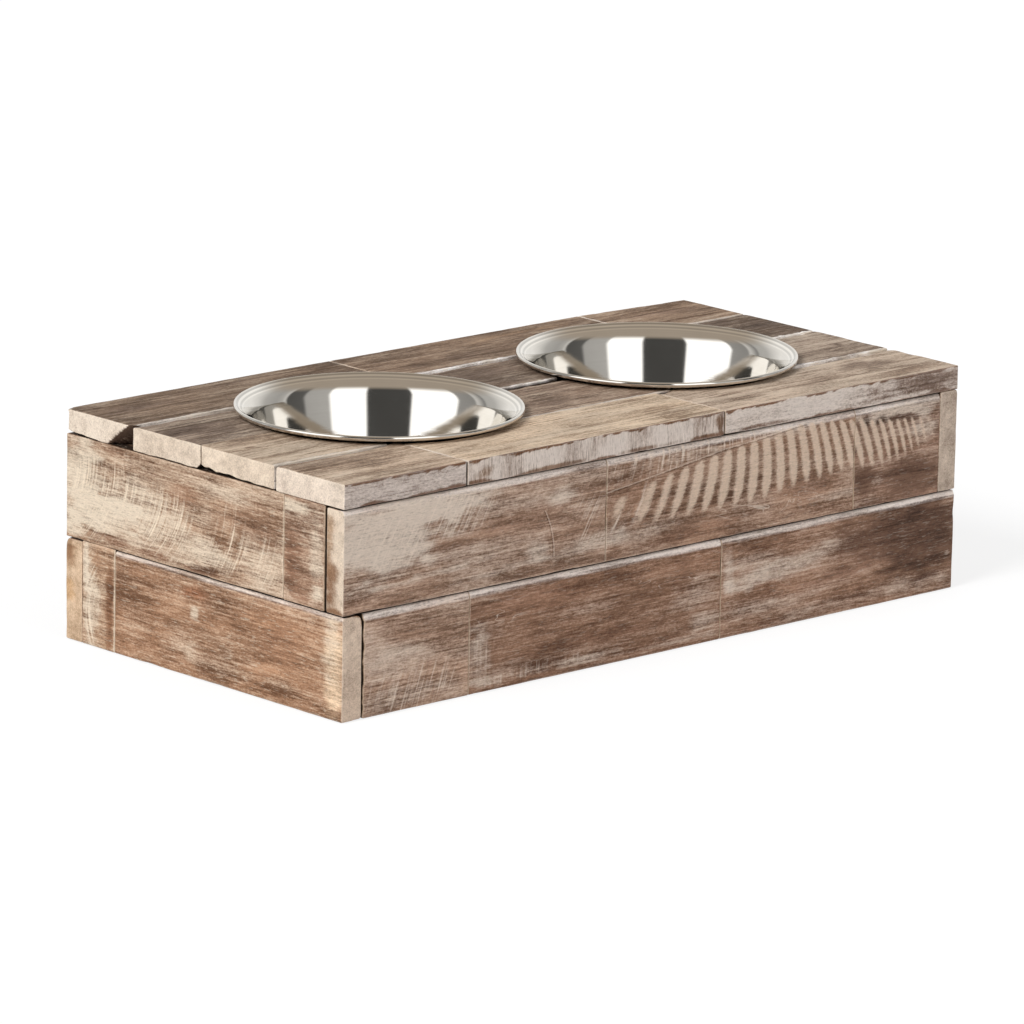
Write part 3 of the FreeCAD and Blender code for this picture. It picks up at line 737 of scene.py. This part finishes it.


# What each block looks like. Spots are (place, amount) or (place, colour, amount), as spot() reads them;
# rims, dips and bevels start with the side that they run along; first_end is the colour and wash of the lower end.
# A block's number for the shade inside its joints (default 0.5) is the depth in millimetres below the outer faces
# where that painted shade begins.
LOOKS = {
    # Upper front
    "front_upper_left": board((158, 127, 106), 0.2, marks=slants, first_end=((212, 191, 169), 0.4),
        rims=[("x1", 0.55, 0.9), ("z0", 0.4, 0.8)],
        pale=[((50, 750, 150, 190), 0.85), ((160, 840, 90, 90), 0.6), ((340, 765, 28, 40, 5), 0.42),
            ((303, 552, 22, 55), 0.38), ((385, 545, 60, 50, 8), 0.34), ((110, 545, 120, 14, 4), 0.4),
            ((220, 500, 160, 12, 3), 0.3)],
        stains=[((150, 655, 100, 18, 5), (124, 94, 75), 0.7), ((120, 480, 100, 20, 3), (132, 102, 82), 0.6),
            ((290, 700, 90, 70), (142, 110, 90), 0.5), ((330, 600, 70, 20, 4), (136, 104, 84), 0.5),
            ((68, 739, 4, 12), (120, 95, 80), 0.6)],
        end_stains=[((48, 540, 34, 160), (132, 98, 72), 1.0), ((30, 470, 36, 60), (142, 108, 82), 1.0),
            ((52, 720, 18, 90), (156, 124, 96), 0.9), ((50, 820, 20, 40), (166, 136, 108), 0.8)]),
    "front_upper_middle": board((150, 117, 95), 0.16, marks=crescents, relief=0.22, step=1.4,
        veins=[((680, 555, 130, 50), 0.8), ((460, 600, 50, 80), 0.4)], rims=[("x0", 0.5, 0.8), ("x1", 0.4, 0.7)],
        pale=[((500, 840, 120, 70, 4), 0.2), ((420, 560, 40, 55, 8), 0.34), ((480, 545, 90, 35, 6), 0.26),
            ((700, 860, 100, 30, 4), 0.4), ((790, 530, 50, 20), 0.3)],
        stains=[((550, 500, 120, 30, 3), (134, 100, 80), 0.5), ((750, 600, 60, 50), (136, 106, 88), 0.5)]),
    "front_upper_right": board((138, 107, 88), 0.1, marks=crescents, relief=0.16, step=1.4, rims=[("x0", 0.3, 0.7)],
        pale=[((900, 845, 100, 45, 2), 0.65), ((940, 730, 30, 80), 0.35), ((862, 560, 20, 30), 0.5)],
        stains=[((920, 545, 85, 110), (97, 71, 56), 0.95), ((840, 570, 25, 80), (97, 71, 56), 0.9),
            ((841, 825, 10, 24, 20), (80, 60, 50), 1.0), ((866, 822, 11, 26, 20), (80, 60, 50), 1.0),
            ((892, 814, 12, 24, 15), (76, 56, 46), 1.0), ((920, 800, 20, 14, 5), (90, 68, 56), 0.9),
            ((885, 812, 60, 11, 3), (92, 70, 58), 0.9), ((905, 620, 3, 16), (90, 66, 54), 0.8)]),
    # Lower front
    "front_lower_left": board((166, 134, 112), 0.24, marks=low_slants, carve=[ragged_left], inset={"x0": 0.8},
        pale=[((90, 200, 60, 90), 0.25), ((100, 60, 100, 50), 0.3)], rims=[("x1", 0.4, 0.7)],
        stains=[((60, 410, 30, 30), (128, 100, 82), 0.7), ((120, 300, 60, 50), (158, 126, 104), 0.5)]),
    "front_lower_middle": board((138, 104, 82), 0.07, marks=smears, rims=[("x0", 0.4, 0.7), ("x1", 0.35, 0.7)],
        pale=[((211, 160, 22, 160), 0.4), ((260, 62, 90, 45, 3), 0.34), ((360, 45, 100, 18, 1), 0.4),
            ((520, 35, 120, 16), 0.35), ((560, 260, 50, 100), 0.22), ((575, 100, 30, 50), 0.35)],
        stains=[((540, 320, 18, 120), (124, 93, 74), 0.6), ((300, 360, 100, 60), (136, 102, 82), 0.5),
            ((420, 130, 120, 30), (134, 100, 80), 0.5)],
        veins=[((245, 315, 50, 30, -4), 1.0), ((530, 310, 90, 30, -3), 1.0), ((590, 70, 40, 30), 0.6)]),
    "front_lower_right": board((145, 111, 89), 0.12, veins=[((650, 420, 50, 30), 0.6)],
        rims=[("x0", 0.35, 0.7), ("z0", 0.3, 1.2)],
        pale=[((660, 235, 70, 60, 6), 0.34), ((720, 265, 120, 55, 8), 0.3), ((660, 300, 60, 60), 0.2),
            ((720, 115, 130, 40, 4), 0.28), ((880, 55, 150, 45, 2), 0.28), ((989, 163, 8, 35), 0.6),
            ((615, 280, 12, 120), 0.35), ((900, 425, 90, 15), 0.6)],
        stains=[((940, 270, 100, 260), (88, 63, 49), 0.95), ((860, 290, 90, 140), (98, 71, 56), 0.8),
            ((660, 380, 60, 50), (138, 104, 82), 0.6), ((800, 170, 100, 30, 6), (130, 100, 83), 0.55)]),
    # Left end
    "left_upper_back": board((156, 122, 96), 0.31, marks=arcs, rims=[("y0", 0.6, 0.9)],
        pale=[((945, 720, 100, 200), 0.52), ((860, 600, 140, 140), 0.46), ((750, 680, 140, 120), 0.25),
            ((500, 540, 130, 90), 0.32), ((290, 570, 100, 120), 0.14), ((630, 630, 120, 120), 0.2),
            ((970, 500, 40, 50), 0.4), ((400, 820, 100, 40), 0.15)],
        stains=[((570, 770, 70, 50), (146, 113, 90), 0.75), ((310, 720, 120, 100), (138, 106, 84), 0.8),
            ((810, 485, 60, 26), (128, 94, 72), 0.85), ((680, 475, 90, 23), (130, 96, 74), 0.85),
            ((500, 468, 80, 24), (122, 90, 70), 0.9), ((430, 700, 50, 80), (160, 128, 104), 0.5),
            ((800, 870, 60, 20), (140, 112, 92), 0.6), ((905, 680, 12, 120), (168, 140, 118), 0.5)]),
    "left_upper_front": board((152, 119, 96), 0.18, inset={"y0": 1.8},
        pale=[((95, 660, 26, 200), 0.34), ((170, 855, 60, 30), 0.45), ((80, 520, 30, 50), 0.3)],
        stains=[((178, 600, 32, 140), (128, 95, 74), 0.95), ((150, 490, 40, 50), (134, 101, 80), 0.8)]),
    "left_lower_back": board((172, 138, 110), 0.25, marks=fan,
        pale=[((925, 340, 14, 160), 0.42), ((905, 160, 34, 220), 0.5)], rims=[("y0", 1.6, 0.9)],
        stains=[((875, 375, 30, 60), (150, 116, 90), 0.8), ((836, 200, 17, 280), (132, 94, 68), 1.0)]),
    "left_lower_front": board((156, 118, 90), 0.12, bevels=[("x0", 1.9, 1.0)], corners=[(("z1", "x1"), 4.6)],
        bevel_wash=0.6, first_end=((202, 178, 158), 0.3), rims=[("y1", 0.5, 0.8)],
        pale=[((526, 273, 20, 30), 0.62), ((575, 160, 90, 90), 0.24), ((430, 105, 140, 70), 0.24),
            ((740, 170, 70, 100), 0.2), ((215, 80, 100, 35), 0.25), ((40, 280, 35, 200), 0.5)],
        stains=[((523, 360, 50, 30), (160, 108, 78), 0.6), ((220, 260, 100, 110), (142, 105, 80), 0.5),
            ((700, 385, 100, 30), (140, 106, 82), 0.5), ((28, 220, 40, 260), (216, 190, 160), 0.8)]),
    # Deck, from the back row to the front row
    "deck_back_left": board((119, 98, 80), 0.08, across=1.3, grime=1.6,
        carve=[chipped, ragged_foot((0.86, 0.0), (0.93, 1.2), (1.0, 3.0))], first_end=((230, 214, 196), 0.35),
        rims=[("y0", 0.65, 2.0), ("x1", 0.3, 1.2)], corners=[(("x0", "y1"), 3.0), (("x0", "z1"), 1.3)],
        stains=[((70, 900, 100, 30), (112, 92, 78), 0.7), ((240, 950, 100, 30), (124, 103, 87), 0.5),
            ((300, 830, 80, 30), (120, 99, 84), 0.5)]),
    "deck_back_middle": board((134, 110, 90), 0.1, grime=1.8,
        rims=[("y0", 1.3, 2.2), ("x0", 0.25, 0.8), ("x1", 0.45, 1.5)],
        stains=[((575, 840, 120, 30), (116, 95, 80), 0.6), ((700, 940, 100, 20), (168, 138, 110), 0.5)]),
    "deck_back_right": board((144, 119, 98), 0.1, grime=0.9, carve=[tapered],
        rims=[("y0", 0.6, 1.6), ("x0", 0.6, 1.4)], stains=[((930, 900, 80, 30), (124, 100, 84), 0.5)]),
    "deck_inner_back_left": board((140, 121, 105), 0.15, corners=[(("x0", "y1"), 1.6), (("x0", "y0"), 1.4)],
        across=1.6, dips=[("y1", 6.5, 1.7)], first_end=((222, 204, 184), 0.3), rims=[("y1", 0.8, 2.4)],
        carve=[ragged_foot((0.508, 5.5), (0.522, 1.3), (0.60, 0.9), (0.70, 0.6), (0.757, 0.3))],
        stains=[((100, 600, 50, 50), (108, 90, 77), 0.7), ((30, 640, 60, 40), (98, 80, 68), 0.8),
            ((90, 660, 50, 20), (110, 91, 78), 0.6), ((60, 560, 60, 20), (126, 106, 91), 0.5)]),
    "deck_inner_back_middle": board((118, 99, 84), 0.08, rims=[("y1", 0.3, 0.8), ("y0", 0.9, 1.6)], inset={"y0": 1.7},
        grime=0.8, dips=[("y1", 7.0, 1.9)], stains=[((520, 660, 80, 40), (108, 90, 78), 0.5)]),
    "deck_inner_back_right": board((99, 81, 67), 0.02, grime=1.4, rims=[("y0", 0.9, 2.2)], dips=[("y1", 4.0, 0.7)],
        stains=[((970, 630, 60, 50), (102, 87, 76), 0.6)]),
    "deck_inner_front_left": board((180, 157, 134), 0.28, corners=[(("x0", "y0"), 2.0), (("x0", "y1"), 1.6)],
        inset={"y0": 0.3}, across=1.6, grime=1.5, first_end=((214, 195, 174), 0.3), rims=[("y0", 0.9, 2.2)],
        carve=[ragged_foot((0.245, 0.5), (0.33, 1.3), (0.42, 2.3), (0.494, 3.0), (0.508, 5.5))],
        stains=[((45, 460, 50, 20), (118, 98, 83), 0.6), ((56, 420, 12, 8), (104, 70, 50), 0.8),
            ((100, 490, 60, 20), (120, 100, 85), 0.6), ((30, 310, 60, 20), (150, 128, 108), 0.5)]),
    "deck_inner_front_middle": board((146, 123, 105), 0.15, inset={"y1": 1.5},
        rims=[("y1", 0.5, 1.0), ("y0", 0.5, 1.6)], dips=[("y1", 6.0, 1.6)],
        stains=[((460, 330, 80, 50), (108, 89, 75), 0.7), ((550, 420, 60, 30), (128, 108, 93), 0.5)]),
    "deck_inner_front_right": board((152, 134, 118), 0.2, grime=1.9, rims=[("y0", 1.2, 2.6), ("y1", 0.5, 1.2)],
        dips=[("y1", 5.5, 1.4)],
        stains=[((955, 355, 8, 10), (84, 66, 54), 0.8), ((930, 430, 60, 30), (136, 117, 102), 0.5)]),
    "deck_front_left": board((186, 161, 138), 0.27, corners=[(("x0", "y1"), 2.2), (("x1", "y0"), 1.6)],
        inset={"y1": 0.4, "x1": 0.5}, dips=[("y1", 6.0, 1.4)], first_end=((230, 213, 196), 0.35),
        rims=[("y1", 0.7, 1.6), ("x1", 0.6, 1.2)], edge_tone=(150, 130, 118), edge_wash=0.56, edge_look="soft_edge",
        rust=[(0.10, 3.0), (0.03, 2.2)],
        stains=[((70, 190, 80, 50), (114, 94, 79), 0.55), ((100, 120, 80, 30), (140, 119, 101), 0.6),
            ((50, 50, 60, 20), (146, 124, 105), 0.5)]),
    "deck_front_middle": board((213, 187, 159), 0.38, corners=[(("x1", "y0"), 1.5), (("x0", "y0"), 1.1)],
        inset={"x1": 0.4}, rims=[("y1", 0.45, 0.9), ("x0", 0.4, 0.8), ("x1", 0.3, 0.7)], edge_tone=(156, 130, 112),
        edge_wash=0.78, rust=[(0.205, 3.4), (0.255, 2.4), (0.40, 2.0), (0.55, 1.6)],
        edge_stains=[((594, 945, 9, 60), (132, 104, 84), 0.9), ((220, 935, 20, 30), (150, 124, 104), 0.6),
            ((330, 905, 50, 12), (140, 116, 98), 0.6), ((480, 905, 60, 12), (136, 110, 92), 0.7)],
        stains=[((300, 210, 60, 20), (164, 136, 110), 0.5), ((520, 100, 70, 25), (172, 146, 120), 0.4)]),
    "deck_front_right": board((186, 164, 144), 0.32, dips=[("y1", 7.0, 2.0)],
        rims=[("y1", 0.5, 0.8), ("x0", 0.3, 0.7)], edge_tone=(156, 130, 112), edge_wash=0.84,
        edge_look="mottled_edge", rust=[(0.62, 2.4), (0.66, 2.2), (0.70, 2.0), (0.85, 2.8), (0.895, 2.6)],
        stains=[((910, 150, 50, 50), (112, 93, 79), 0.8), ((800, 100, 60, 30), (138, 118, 101), 0.5),
            ((660, 100, 50, 30), (146, 125, 107), 0.5), ((950, 40, 50, 20), (150, 126, 106), 0.5)],
        edge_stains=[((930, 955, 100, 55), (112, 95, 86), 0.62), ((850, 940, 30, 50), (126, 107, 96), 0.35),
            ((670, 905, 70, 14), (124, 97, 81), 0.8)]),
    # Right end
    "right_upper_front": board((160, 128, 105), 0.22, first_end=((182, 162, 146), 0.3), corners=[(("z1", "x1"), 2.2)],
        stains=[((200, 660, 120, 50), (142, 110, 88), 0.6)], pale=[((80, 750, 60, 100), 0.35)]),
    "right_upper_back": board((164, 132, 108), 0.28, stains=[((550, 600, 120, 50), (146, 114, 92), 0.6)],
        pale=[((800, 720, 100, 100), 0.4), ((450, 800, 120, 50), 0.35)]),
    "right_lower_front": board((156, 119, 92), 0.14, bevels=[("x1", 2.4, 1.0)], bevel_wash=0.3,
        stains=[((300, 200, 140, 80), (140, 106, 82), 0.6)], pale=[((150, 300, 80, 60), 0.4)]),
    "right_lower_back": board((160, 126, 100), 0.18, bevels=[("x1", 2.4, 1.0)], bevel_wash=0.3,
        stains=[((700, 250, 120, 80), (146, 112, 88), 0.6)], pale=[((600, 120, 100, 50), 0.4)]),
    # Back
    "back_upper_left": board((154, 123, 102), 0.2, rims=[("x1", 0.45, 0.8)],
        pale=[((100, 780, 100, 80), 0.45), ((250, 600, 100, 50), 0.4)],
        stains=[((200, 520, 120, 40), (134, 103, 84), 0.6)]),
    "back_upper_middle": board((148, 115, 94), 0.16, rims=[("x0", 0.45, 0.8), ("x1", 0.45, 0.8)],
        pale=[((500, 760, 120, 70), 0.45), ((700, 580, 90, 40), 0.4)],
        stains=[((620, 800, 80, 40), (130, 100, 82), 0.6)]),
    "back_upper_right": board((158, 127, 106), 0.22, rims=[("x0", 0.45, 0.8)], pale=[((900, 660, 60, 100), 0.4)],
        stains=[((850, 540, 60, 50), (136, 105, 86), 0.6)]),
    "back_lower_left": board((150, 118, 97), 0.16, rims=[("x1", 0.45, 0.8)], first_end=((200, 169, 137), 0.22),
        pale=[((100, 200, 80, 80), 0.4)], stains=[((50, 340, 60, 60), (132, 101, 82), 0.5)],
        end_stains=[((985, 380, 25, 90), (140, 105, 76), 0.95), ((985, 220, 20, 50), (196, 156, 112), 0.6)]),
    "back_lower_middle": board((146, 113, 91), 0.12, rims=[("x0", 0.45, 0.8), ("x1", 0.45, 0.8)],
        pale=[((350, 100, 120, 50), 0.45), ((500, 300, 80, 60), 0.4)],
        stains=[((420, 200, 120, 50), (130, 98, 80), 0.6)]),
    "back_lower_right": board((152, 120, 99), 0.16, rims=[("x0", 0.45, 0.8)], pale=[((800, 260, 120, 50), 0.45)],
        stains=[((720, 120, 100, 50), (132, 101, 83), 0.6)]),
}

for node, look in LOOKS.items():
    if node.startswith(("front", "back")):
        look["bevels"] = [("y0" if node.startswith("front") else "y1", 3.0, 1.3)]
    if "bevels" in look:
        look.setdefault("inset", {}).setdefault("z1", 0.8)
    if node.startswith("deck"):
        block(node, "deck", 0, look)
    elif node.startswith(("front", "back")):
        block(node, "front", 0, look)
    else:
        block(node, "end", 1, look)


# Bowls

# Rings on the flange, partly turned polish and partly painted reflection: radius in millimetres and how bright the
# metal's colour is made there.
POLISH_AND_REFLECTION_RINGS = [(79.3, 1.0), (80.0, 1.05), (80.6, 1.2), (81.2, 0.86), (81.7, 0.8), (82.3, 1.2), (82.9, 1.24), (83.5, 0.78),
         (84.1, 0.68), (84.7, 1.0)]
# The section's round parts in millimetres: middle, by radius and height from the deck's top, and own radius.
CORNER, THROAT, BEAD = ((52.3, -28.0), 18.0), ((89.24, -8.84), 14.0), ((85.70, 0.0), 0.95)
BEAD_STRETCH, BEAD_LIFT = (1, 1.55), (0, 4.0)
FLANGE = [(81.5, 2.80), (81.9, 3.16), (82.4, 3.45), (82.9, 3.91), (83.5, 4.30)]
UNDER_RIM = [(84.75, 3.30), (83.9, 3.30), (82.7, 2.62)]
FLOOR_RADII, FLOOR_HEIGHT, THICK = (0.0, 18.0, 36.0, 47.0), -46.0, 0.9
DRAWN_RIM, WITHIN_BOX = 86.74, 0.994
SEGMENTS = 224


def steel():
    """Spun stainless steel: fine turned rings, slightly uneven polish, and flange rings of polish and painted
    reflection.
    """
    mat, g, shader = material("spun_steel")
    place = g.place()
    x, y, z = g.split(place)
    radius = g.add("VectorMath", {0: g.join(x, y)}, operation="LENGTH").outputs["Value"]
    path = g.join(radius, z)
    rings = g.noise(path, (2600, 2600, 1), 3.0, 0.7)
    sweep = g.noise(path, (260, 260, 1), 2.0, 0.5)
    smudge = g.noise(place, (38, 38, 38), 4.0, 0.6)
    colour = g.mix(g.total(0.5, (rings, 0.8), (smudge, 0.6)), rgba((214, 210, 203)), rgba((236, 233, 228)))
    # Painted reflection: the flange's colour is made brighter and darker in rings, along with its real polish.
    polish_and_reflection = g.ramp(g.math("DIVIDE", radius, MM), POLISH_AND_REFLECTION_RINGS, POLISH_AND_REFLECTION_RINGS[0][0], POLISH_AND_REFLECTION_RINGS[-1][0])
    g.put(shader.inputs["Base Color"], g.mix(1.0, colour, polish_and_reflection, "MULTIPLY"))
    g.put(shader.inputs["Roughness"], g.total(0.06, (rings, 0.06), (smudge, 0.05)))
    g.bump(shader, g.total(0.0, (rings, 0.5), (sweep, 1.0)), 0.05, 0.00015)
    tangent = g.add("Tangent", direction_type="RADIAL", axis="Z")
    g.put(shader.inputs["Tangent"], tangent.outputs[0])
    shader.inputs["Metallic"].default_value = 1.0
    shader.inputs["Anisotropic"].default_value = 0.45
    return mat


def arc(centre, radius, first, last, count):
    turn = np.radians(np.linspace(first, last, count))
    return np.stack([centre[0] + radius * np.cos(turn), centre[1] + radius * np.sin(turn)], axis=1)


def bowl_profile():
    """The bowl's section, radius and height, from the floor's middle out over the rim and back underneath."""
    bead = arc(*BEAD, 128, -120, 18) * BEAD_STRETCH + BEAD_LIFT
    inner = [[(r, FLOOR_HEIGHT) for r in FLOOR_RADII], arc(*CORNER, -90, -13.3, 16), arc(*THROAT, 166.7, 126.4, 16),
             FLANGE, bead]
    neck = arc(THROAT[0], THROAT[1] - THICK, 126.4, 166.7, 10)
    heel = arc(CORNER[0], CORNER[1] + THICK, -13.3, -90, 14)
    outer = [UNDER_RIM, neck, heel, [(r, FLOOR_HEIGHT - THICK) for r in FLOOR_RADII[2::-1]]]
    return np.concatenate(inner + outer) * MM * (WITHIN_BOX * RIM_RADIUS / (DRAWN_RIM * MM))


def bowl(side, finish):
    """One lathe-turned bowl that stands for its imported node."""
    low, high = (np.array(c, float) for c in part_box(side + "_bowl"))
    turn = np.linspace(0, 2 * math.pi, SEGMENTS, endpoint=False)
    verts, rings = [], []
    for r, z in bowl_profile():
        if r < TINY:
            rings.append([len(verts)])
            verts.append((0.0, 0.0, z))
            continue
        rings.append(list(range(len(verts), len(verts) + SEGMENTS)))
        verts.extend(zip(r * np.cos(turn), r * np.sin(turn), np.full(SEGMENTS, z)))
    faces = []
    for a, b in zip(rings[:-1], rings[1:]):
        for i in range(SEGMENTS):
            j = (i + 1) % SEGMENTS
            if len(a) == 1:
                faces.append((a[0], b[i], b[j]))
            elif len(b) == 1:
                faces.append((a[i], b[0], a[j]))
            else:
                faces.append((a[i], b[i], b[j], a[j]))
    mesh = bpy.data.meshes.new(side + "_bowl_spun")
    mesh.from_pydata(verts, [], faces)
    mesh.polygons.foreach_set("use_smooth", np.ones(len(faces), bool))
    mesh.materials.append(finish)
    mesh.update()
    piece = bpy.data.objects.new(side + "_bowl_spun", mesh)
    link(piece)
    piece.location = ((low[0] + high[0]) / 2, (low[1] + high[1]) / 2, STAND_HIGH[2])
    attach(piece, side + "_bowl")
    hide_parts(side + "_bowl")


STEEL = steel()
for side in ("left", "right"):
    bowl(side, STEEL)


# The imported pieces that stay: posts, battens and fasteners

def zinc(name, bright, dull):
    """Plated fastener steel with dull and bright blotches."""
    mat, g, shader = material(name)
    place = g.place()
    blotch = g.noise(place, (900, 900, 900), 3.0, 0.7)
    scratch = g.noise(place, (3000, 400, 3000), 2.0, 0.6)
    level = g.clamp(g.total(0.5, (blotch, 2.2), (scratch, 1.0)))
    g.put(shader.inputs["Base Color"], g.mix(level, rgba(dull), rgba(bright)))
    g.put(shader.inputs["Roughness"], g.total(0.42, (blotch, -0.5), (scratch, 0.3)))
    g.bump(shader, blotch, 0.3, 0.0002)
    shader.inputs["Metallic"].default_value = 0.9
    return mat


POST_WOOD = wood("post_wood", 2, tone=(196, 168, 138))
BATTEN_WOOD = wood("batten_wood", 1, tone=(190, 162, 132))
NAIL = zinc("nail_steel", (150, 140, 128), (84, 70, 58))
SCREW = zinc("screw_steel", (190, 186, 178), (120, 114, 106))
for node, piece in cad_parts.items():
    finish = None
    if node.startswith(("post_screws", "batten_screws")):
        finish = SCREW
    elif node.endswith("nails"):
        finish = NAIL
    elif node.startswith("post_"):
        finish = POST_WOOD
    elif node.startswith("batten_"):
        finish = BATTEN_WOOD
    if finish is not None:
        piece.data.materials.clear()
        piece.data.materials.append(finish)


# Studio

CAMERA_AIM = Vector((-0.00389, 0.00119, 0.06271))
CAMERA_AZIMUTH, CAMERA_ELEVATION, CAMERA_ROLL = (math.radians(a) for a in (-42.997, 13.737, 1.049))
CAMERA_DISTANCE, CAMERA_LENS = 4.5243, 264.44
FLOOR_REACH, FLOOR_DROP, FLOOR_GLOW = 14.0, 0.0004, 0.78
FLOOR_TONE, SHADED_TONE = (0.80, 0.79, 0.78, 1), (0.26, 0.26, 0.26, 1)
WALLS = 4 * MM
# The room that metal sees: soft boxes and dark gaps by their angle from the camera, in degrees, with a brightness.
ROOM = [(-180, 0.9), (-152, 0.95), (-138, 0.75), (-126, 0.5), (-108, 0.42), (-100, 0.5), (-96, 0.7), (-93, 0.1),
        (-75, 0.12), (-72, 0.45), (-49, 0.5), (-46, 1.6), (-14, 1.6), (-12, 0.07), (28, 0.075), (30, 1.6), (74, 1.6),
        (77, 0.35), (96, 0.3), (99, 0.7), (104, 0.5), (110, 0.24), (113, 0.5), (126, 0.52), (138, 0.75), (152, 0.95),
        (179.5, 0.9)]
ROOM_WARMTH, CEILING = (1, 0.985, 0.955), (0.42, 0.36, 0.295, 1)
AMBIENT, WHITE = (0.42, 0.42, 0.42, 1), (1, 1, 1, 1)

lens = bpy.data.cameras.new("camera")
lens.lens = CAMERA_LENS
lens.sensor_width = 36.0
lens.sensor_fit = "HORIZONTAL"
lens.clip_end = 60.0
camera = bpy.data.objects.new("camera", lens)
link(camera)
reach = math.cos(CAMERA_ELEVATION)
forward = Vector((-math.sin(CAMERA_AZIMUTH) * reach, math.cos(CAMERA_AZIMUTH) * reach, -math.sin(CAMERA_ELEVATION)))
level = forward.cross(Vector((0, 0, 1))).normalized()
upright = level.cross(forward)
right = level * math.cos(CAMERA_ROLL) + upright * math.sin(CAMERA_ROLL)
up = upright * math.cos(CAMERA_ROLL) - level * math.sin(CAMERA_ROLL)
spin = Matrix((right, up, -forward)).transposed()
camera.matrix_world = Matrix.Translation(CAMERA_AIM - forward * CAMERA_DISTANCE) @ spin.to_4x4()
bpy.context.scene.camera = camera


def rays(g):
    """Two numbers: 1 for rays from the camera or through glass, and 1 for rays from metal."""
    path = g.add("LightPath").outputs
    return g.math("ADD", path["Is Camera Ray"], path["Is Transmission Ray"], clamp=True), path["Is Glossy Ray"]


# A white floor that glows for the rays that see it; under the stand it has no glow and stays dark, a painted shade.
floor_mesh = bpy.data.meshes.new("floor")
corners = [(x * FLOOR_REACH, y * FLOOR_REACH, 0) for x, y in ((-1, -1), (1, -1), (1, 1), (-1, 1))]
floor_mesh.from_pydata(corners, [], [(0, 1, 2, 3)])
floor = bpy.data.objects.new("floor", floor_mesh)
floor.location.z = -FLOOR_DROP
link(floor)
paper = bpy.data.materials.new("paper_floor")
g = cleared(paper)
seen, glossy = rays(g)
plain = g.add("BsdfDiffuse", {"Color": FLOOR_TONE}).outputs[0]
shaded = g.add("BsdfDiffuse", {"Color": SHADED_TONE}).outputs[0]
glow = g.add("Emission", {"Color": WHITE, "Strength": FLOOR_GLOW}).outputs[0]
lit = g.add("AddShader", {0: shaded, 1: glow}).outputs[0]
x, y, _ = g.split(g.place())
# Painted shade: under the stand the floor gets no glow, only the dark diffuse tone.
inside = [g.math("LESS_THAN", g.math("ABSOLUTE", at), size / 2 - WALLS) for at, size in ((x, LENGTH), (y, DEPTH))]
lit = g.add("MixShader", {0: g.times(*inside), 1: lit, 2: shaded}).outputs[0]
both = g.math("ADD", seen, glossy, clamp=True)
mixed = g.add("MixShader", {0: both, 1: plain, 2: lit}).outputs[0]
g.add("OutputMaterial", {0: mixed})
floor_mesh.materials.append(paper)

world = bpy.data.worlds.new("studio")
bpy.context.scene.world = world
g = cleared(world)
seen, glossy = rays(g)
x, y, z = g.split(g.place("Generated"))
toward = math.degrees(math.atan2(-forward.y, -forward.x))
bearing = g.math("SUBTRACT", toward, g.math("DEGREES", g.math("ARCTAN2", y, x)))
bearing = g.add("Math", {0: bearing, 1: 180.0, 2: -180.0}, operation="WRAP").outputs[0]
walls = g.ramp(bearing, ROOM, -180, 180, ROOM_WARMTH)
room = g.mix(g.step(z, 0.50, 0.80), walls, CEILING)
whole = g.mix(seen, g.mix(glossy, AMBIENT, room), WHITE)
back = g.add("Background", {"Color": whole, "Strength": 1.0})
g.add("OutputWorld", {0: back.outputs[0]})


def soft_lamp(name, way, level, spread):
    lamp = bpy.data.lights.new(name, "SUN")
    lamp.energy = level * math.pi
    lamp.angle = math.radians(spread)
    holder = bpy.data.objects.new(name, lamp)
    holder.rotation_euler = Vector(way).to_track_quat("Z", "Y").to_euler()
    holder.visible_glossy = False
    link(holder)


# A large soft key from the upper left and a weak fill from the front.
soft_lamp("key", (-0.58, -0.06, 0.48), 0.74, 24)
soft_lamp("fill", (0.10, -0.90, 0.42), 0.16, 30)

bpy.context.scene.view_settings.view_transform = "Standard"
